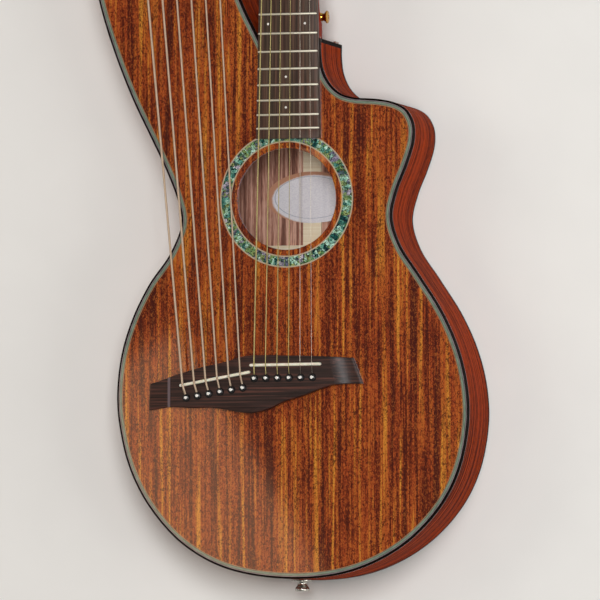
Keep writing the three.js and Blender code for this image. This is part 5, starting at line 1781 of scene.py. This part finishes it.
class HARPGUITAR_OT_strap_fittings(bpy.types.Operator):
    """Turns the strap button on the heel and the end pin in the tail"""
    bl_idname = "harpguitar.strap_fittings"
    bl_label = "Strap Fittings"

    def execute(self, context):
        seat = Matrix.Translation((STRAP_SEAT, STRAP_Y, STRAP_LEVEL))
        sideways = seat @ Matrix.Rotation(math.pi / 2, 4, "Y")
        button, pin = lathe(STRAP_PROFILE, FITTING_SIDES), lathe(END_PROFILE, FITTING_SIDES)
        place("strap_button_metal", moved(button, sideways), "gold", "strap_button")
        tail = Matrix.Translation((TAIL_CENTRE, TAIL_Y, MID_DEPTH))
        outward = tail @ Matrix.Rotation(math.pi / 2, 4, "X")
        place("end_pin_metal", moved(pin, outward), "nickel", "end_pin")
        return {"FINISHED"}


class HARPGUITAR_OT_inner_parts(bpy.types.Operator):
    """Finishes the blocks, the braces and the truss rod, which keep their CAD shapes"""
    bl_idname = "harpguitar.inner_parts"
    bl_label = "Inner Parts"

    def execute(self, context):
        for node, key in (("neck_block", "bare"), ("tail_block", "bare"), ("top_bracing", "spruce"),
                          ("back_bracing", "spruce"), ("truss_rod", "steel")):
            cad_nodes[node].data.materials.clear()
            cad_nodes[node].data.materials.append(finish(key))
        return {"FINISHED"}


# Stage

VIEW_AIM = (10.9, 57.9, 88)
VIEW_OUT = Vector((0.2585, -0.0506, 0.9647))
VIEW_RIGHT = Vector((0.966, 0, -0.2588))
VIEW_REACH = 8000
MIRROR_OUT = Vector((-VIEW_OUT.x, -VIEW_OUT.y, VIEW_OUT.z))
GLINT_TURN = 0.504
FRAME_WIDTH = 597.3
SENSOR = 36
CLIP_NEAR, CLIP_FAR = 0.1, 60
FLOOR_HALF, FLOOR_LOW, FLOOR_TOP = 12000, -20, -0.3
# Each lamp's name, place, width, height, power in watts and tint
LAMPS = (
    ("Key", (-2300, 900, 2200), 1500, 1500, 16, "#fff6ea"),
    ("Side", (2300, -500, 1700), 1300, 1300, 19, "#fbf7f2"),
    ("Top", (600, 350, 2750), 800, 1200, 47, "#ffffff"),
)
LAMP_AIM = (0, 60, 60)
# This lamp's reflection lies over the lower left of the top and ends on a slanting line.
GLINT_SPOT = Vector((-191, -204, BODY_DEPTH))
WINDOW = (1500 * MIRROR_OUT + GLINT_SPOT, 320, 340, 0.85, "#ffcfa4")
# The sky is darker overhead, so that the lacquered top mirrors little of it.
SKY_RISE, SKY_STRENGTH = (0.2, 0.9), (0.5, 0.08)


def soft_lamp(name, spot, width, height, power, tint, aim=LAMP_AIM, roll=0.0):
    """Hangs a rectangular lamp at a spot, aimed at a point and rolled about that line."""
    lamp = bpy.data.lights.new(name, "AREA")
    lamp.shape = "RECTANGLE"
    lamp.size, lamp.size_y = width * MM, height * MM
    lamp.energy = power
    lamp.color = linear(tint)[:3]
    thing = bpy.data.objects.new(name, lamp)
    out = (Vector(spot) - Vector(aim)).normalized()
    across = Vector((math.cos(roll), math.sin(roll), 0))
    across = (across - out * across.dot(out)).normalized()
    turn = Matrix((across, out.cross(across), out)).transposed().to_4x4()
    thing.matrix_world = Matrix.Translation(Vector(spot) * MM) @ turn
    bpy.context.scene.collection.objects.link(thing)


class HARPGUITAR_OT_stage(bpy.types.Operator):
    """Sets the floor, the lamps and the camera at the photograph's angle"""
    bl_idname = "harpguitar.stage"
    bl_label = "Stage"

    def execute(self, context):
        scene = context.scene
        corners = [(-FLOOR_HALF, -FLOOR_HALF), (FLOOR_HALF, -FLOOR_HALF),
                   (FLOOR_HALF, FLOOR_HALF), (-FLOOR_HALF, FLOOR_HALF)]
        piece("floor", plate(corners, [], FLOOR_LOW, FLOOR_TOP), "floor")
        world = bpy.data.worlds.new("Soft studio")
        world.use_nodes = True
        tree = world.node_tree
        tree.nodes.clear()
        direction = add_node(tree, "ShaderNodeTexCoord", out="Generated")
        level = add_node(tree, "ShaderNodeSeparateXYZ", {0: direction}, out="Z")
        strength = add_node(tree, "ShaderNodeMapRange", {
            0: level, 1: SKY_RISE[0], 2: SKY_RISE[1], 3: SKY_STRENGTH[0], 4: SKY_STRENGTH[1]})
        sky = add_node(tree, "ShaderNodeBackground", {"Color": linear("#f4f3f1"), "Strength": strength})
        add_node(tree, "ShaderNodeOutputWorld", {"Surface": sky})
        scene.world = world
        for lamp in LAMPS:
            soft_lamp(*lamp)
        soft_lamp("Window", *WINDOW, GLINT_SPOT, GLINT_TURN)
        camera = bpy.data.cameras.new("Camera")
        camera.sensor_width = SENSOR
        camera.lens = SENSOR * VIEW_REACH / FRAME_WIDTH
        camera.clip_start, camera.clip_end = CLIP_NEAR, CLIP_FAR
        thing = bpy.data.objects.new("Camera", camera)
        up = VIEW_OUT.cross(VIEW_RIGHT)
        turn = Matrix((VIEW_RIGHT, up, VIEW_OUT)).transposed().to_4x4()
        thing.matrix_world = Matrix.Translation((Vector(VIEW_AIM) + VIEW_OUT * VIEW_REACH) * MM) @ turn
        scene.collection.objects.link(thing)
        scene.camera = thing
        scene.view_settings.view_transform = "Standard"
        return {"FINISHED"}


OPERATORS = (
    HARPGUITAR_OT_stage, HARPGUITAR_OT_soundboard, HARPGUITAR_OT_binding, HARPGUITAR_OT_sides,
    HARPGUITAR_OT_back, HARPGUITAR_OT_linings, HARPGUITAR_OT_rosette, HARPGUITAR_OT_label,
    HARPGUITAR_OT_bridge, HARPGUITAR_OT_saddles, HARPGUITAR_OT_pins, HARPGUITAR_OT_neck,
    HARPGUITAR_OT_fingerboard, HARPGUITAR_OT_nuts, HARPGUITAR_OT_bass_headstock, HARPGUITAR_OT_posts,
    HARPGUITAR_OT_buttons, HARPGUITAR_OT_plates, HARPGUITAR_OT_strings, HARPGUITAR_OT_strap_fittings,
    HARPGUITAR_OT_inner_parts,
)
GROUPS = {
    "harpguitar_body": HARPGUITAR_PG_body, "harpguitar_rosette": HARPGUITAR_PG_rosette,
    "harpguitar_neck": HARPGUITAR_PG_neck, "harpguitar_bridge": HARPGUITAR_PG_bridge,
    "harpguitar_metal": HARPGUITAR_PG_metal, "harpguitar_strings": HARPGUITAR_PG_strings,
}


class HARPGUITAR_PT_panel(bpy.types.Panel):
    """Lists the sizes, the colours and the pieces of the harp guitar"""
    bl_idname = "HARPGUITAR_PT_panel"
    bl_label = "Harp Guitar"
    bl_space_type = "VIEW_3D"
    bl_region_type = "UI"
    bl_category = "Harp Guitar"

    def draw(self, context):
        for name, group in GROUPS.items():
            box = self.layout.box()
            settings = getattr(context.scene, name)
            for key in group.__annotations__:
                box.prop(settings, key)
        for operator in OPERATORS:
            self.layout.operator(operator.bl_idname)


def register():
    for kind in (*GROUPS.values(), *OPERATORS, HARPGUITAR_PT_panel):
        bpy.utils.register_class(kind)
    for name, group in GROUPS.items():
        setattr(bpy.types.Scene, name, PointerProperty(type=group))


def unregister():
    for name in GROUPS:
        delattr(bpy.types.Scene, name)
    for kind in reversed((*GROUPS.values(), *OPERATORS, HARPGUITAR_PT_panel)):
        bpy.utils.unregister_class(kind)


def main():
    register()
    for operator in OPERATORS:
        prefix, name = operator.bl_idname.split(".")
        getattr(getattr(bpy.ops, prefix), name)()


if __name__ == "__main__":
    main()
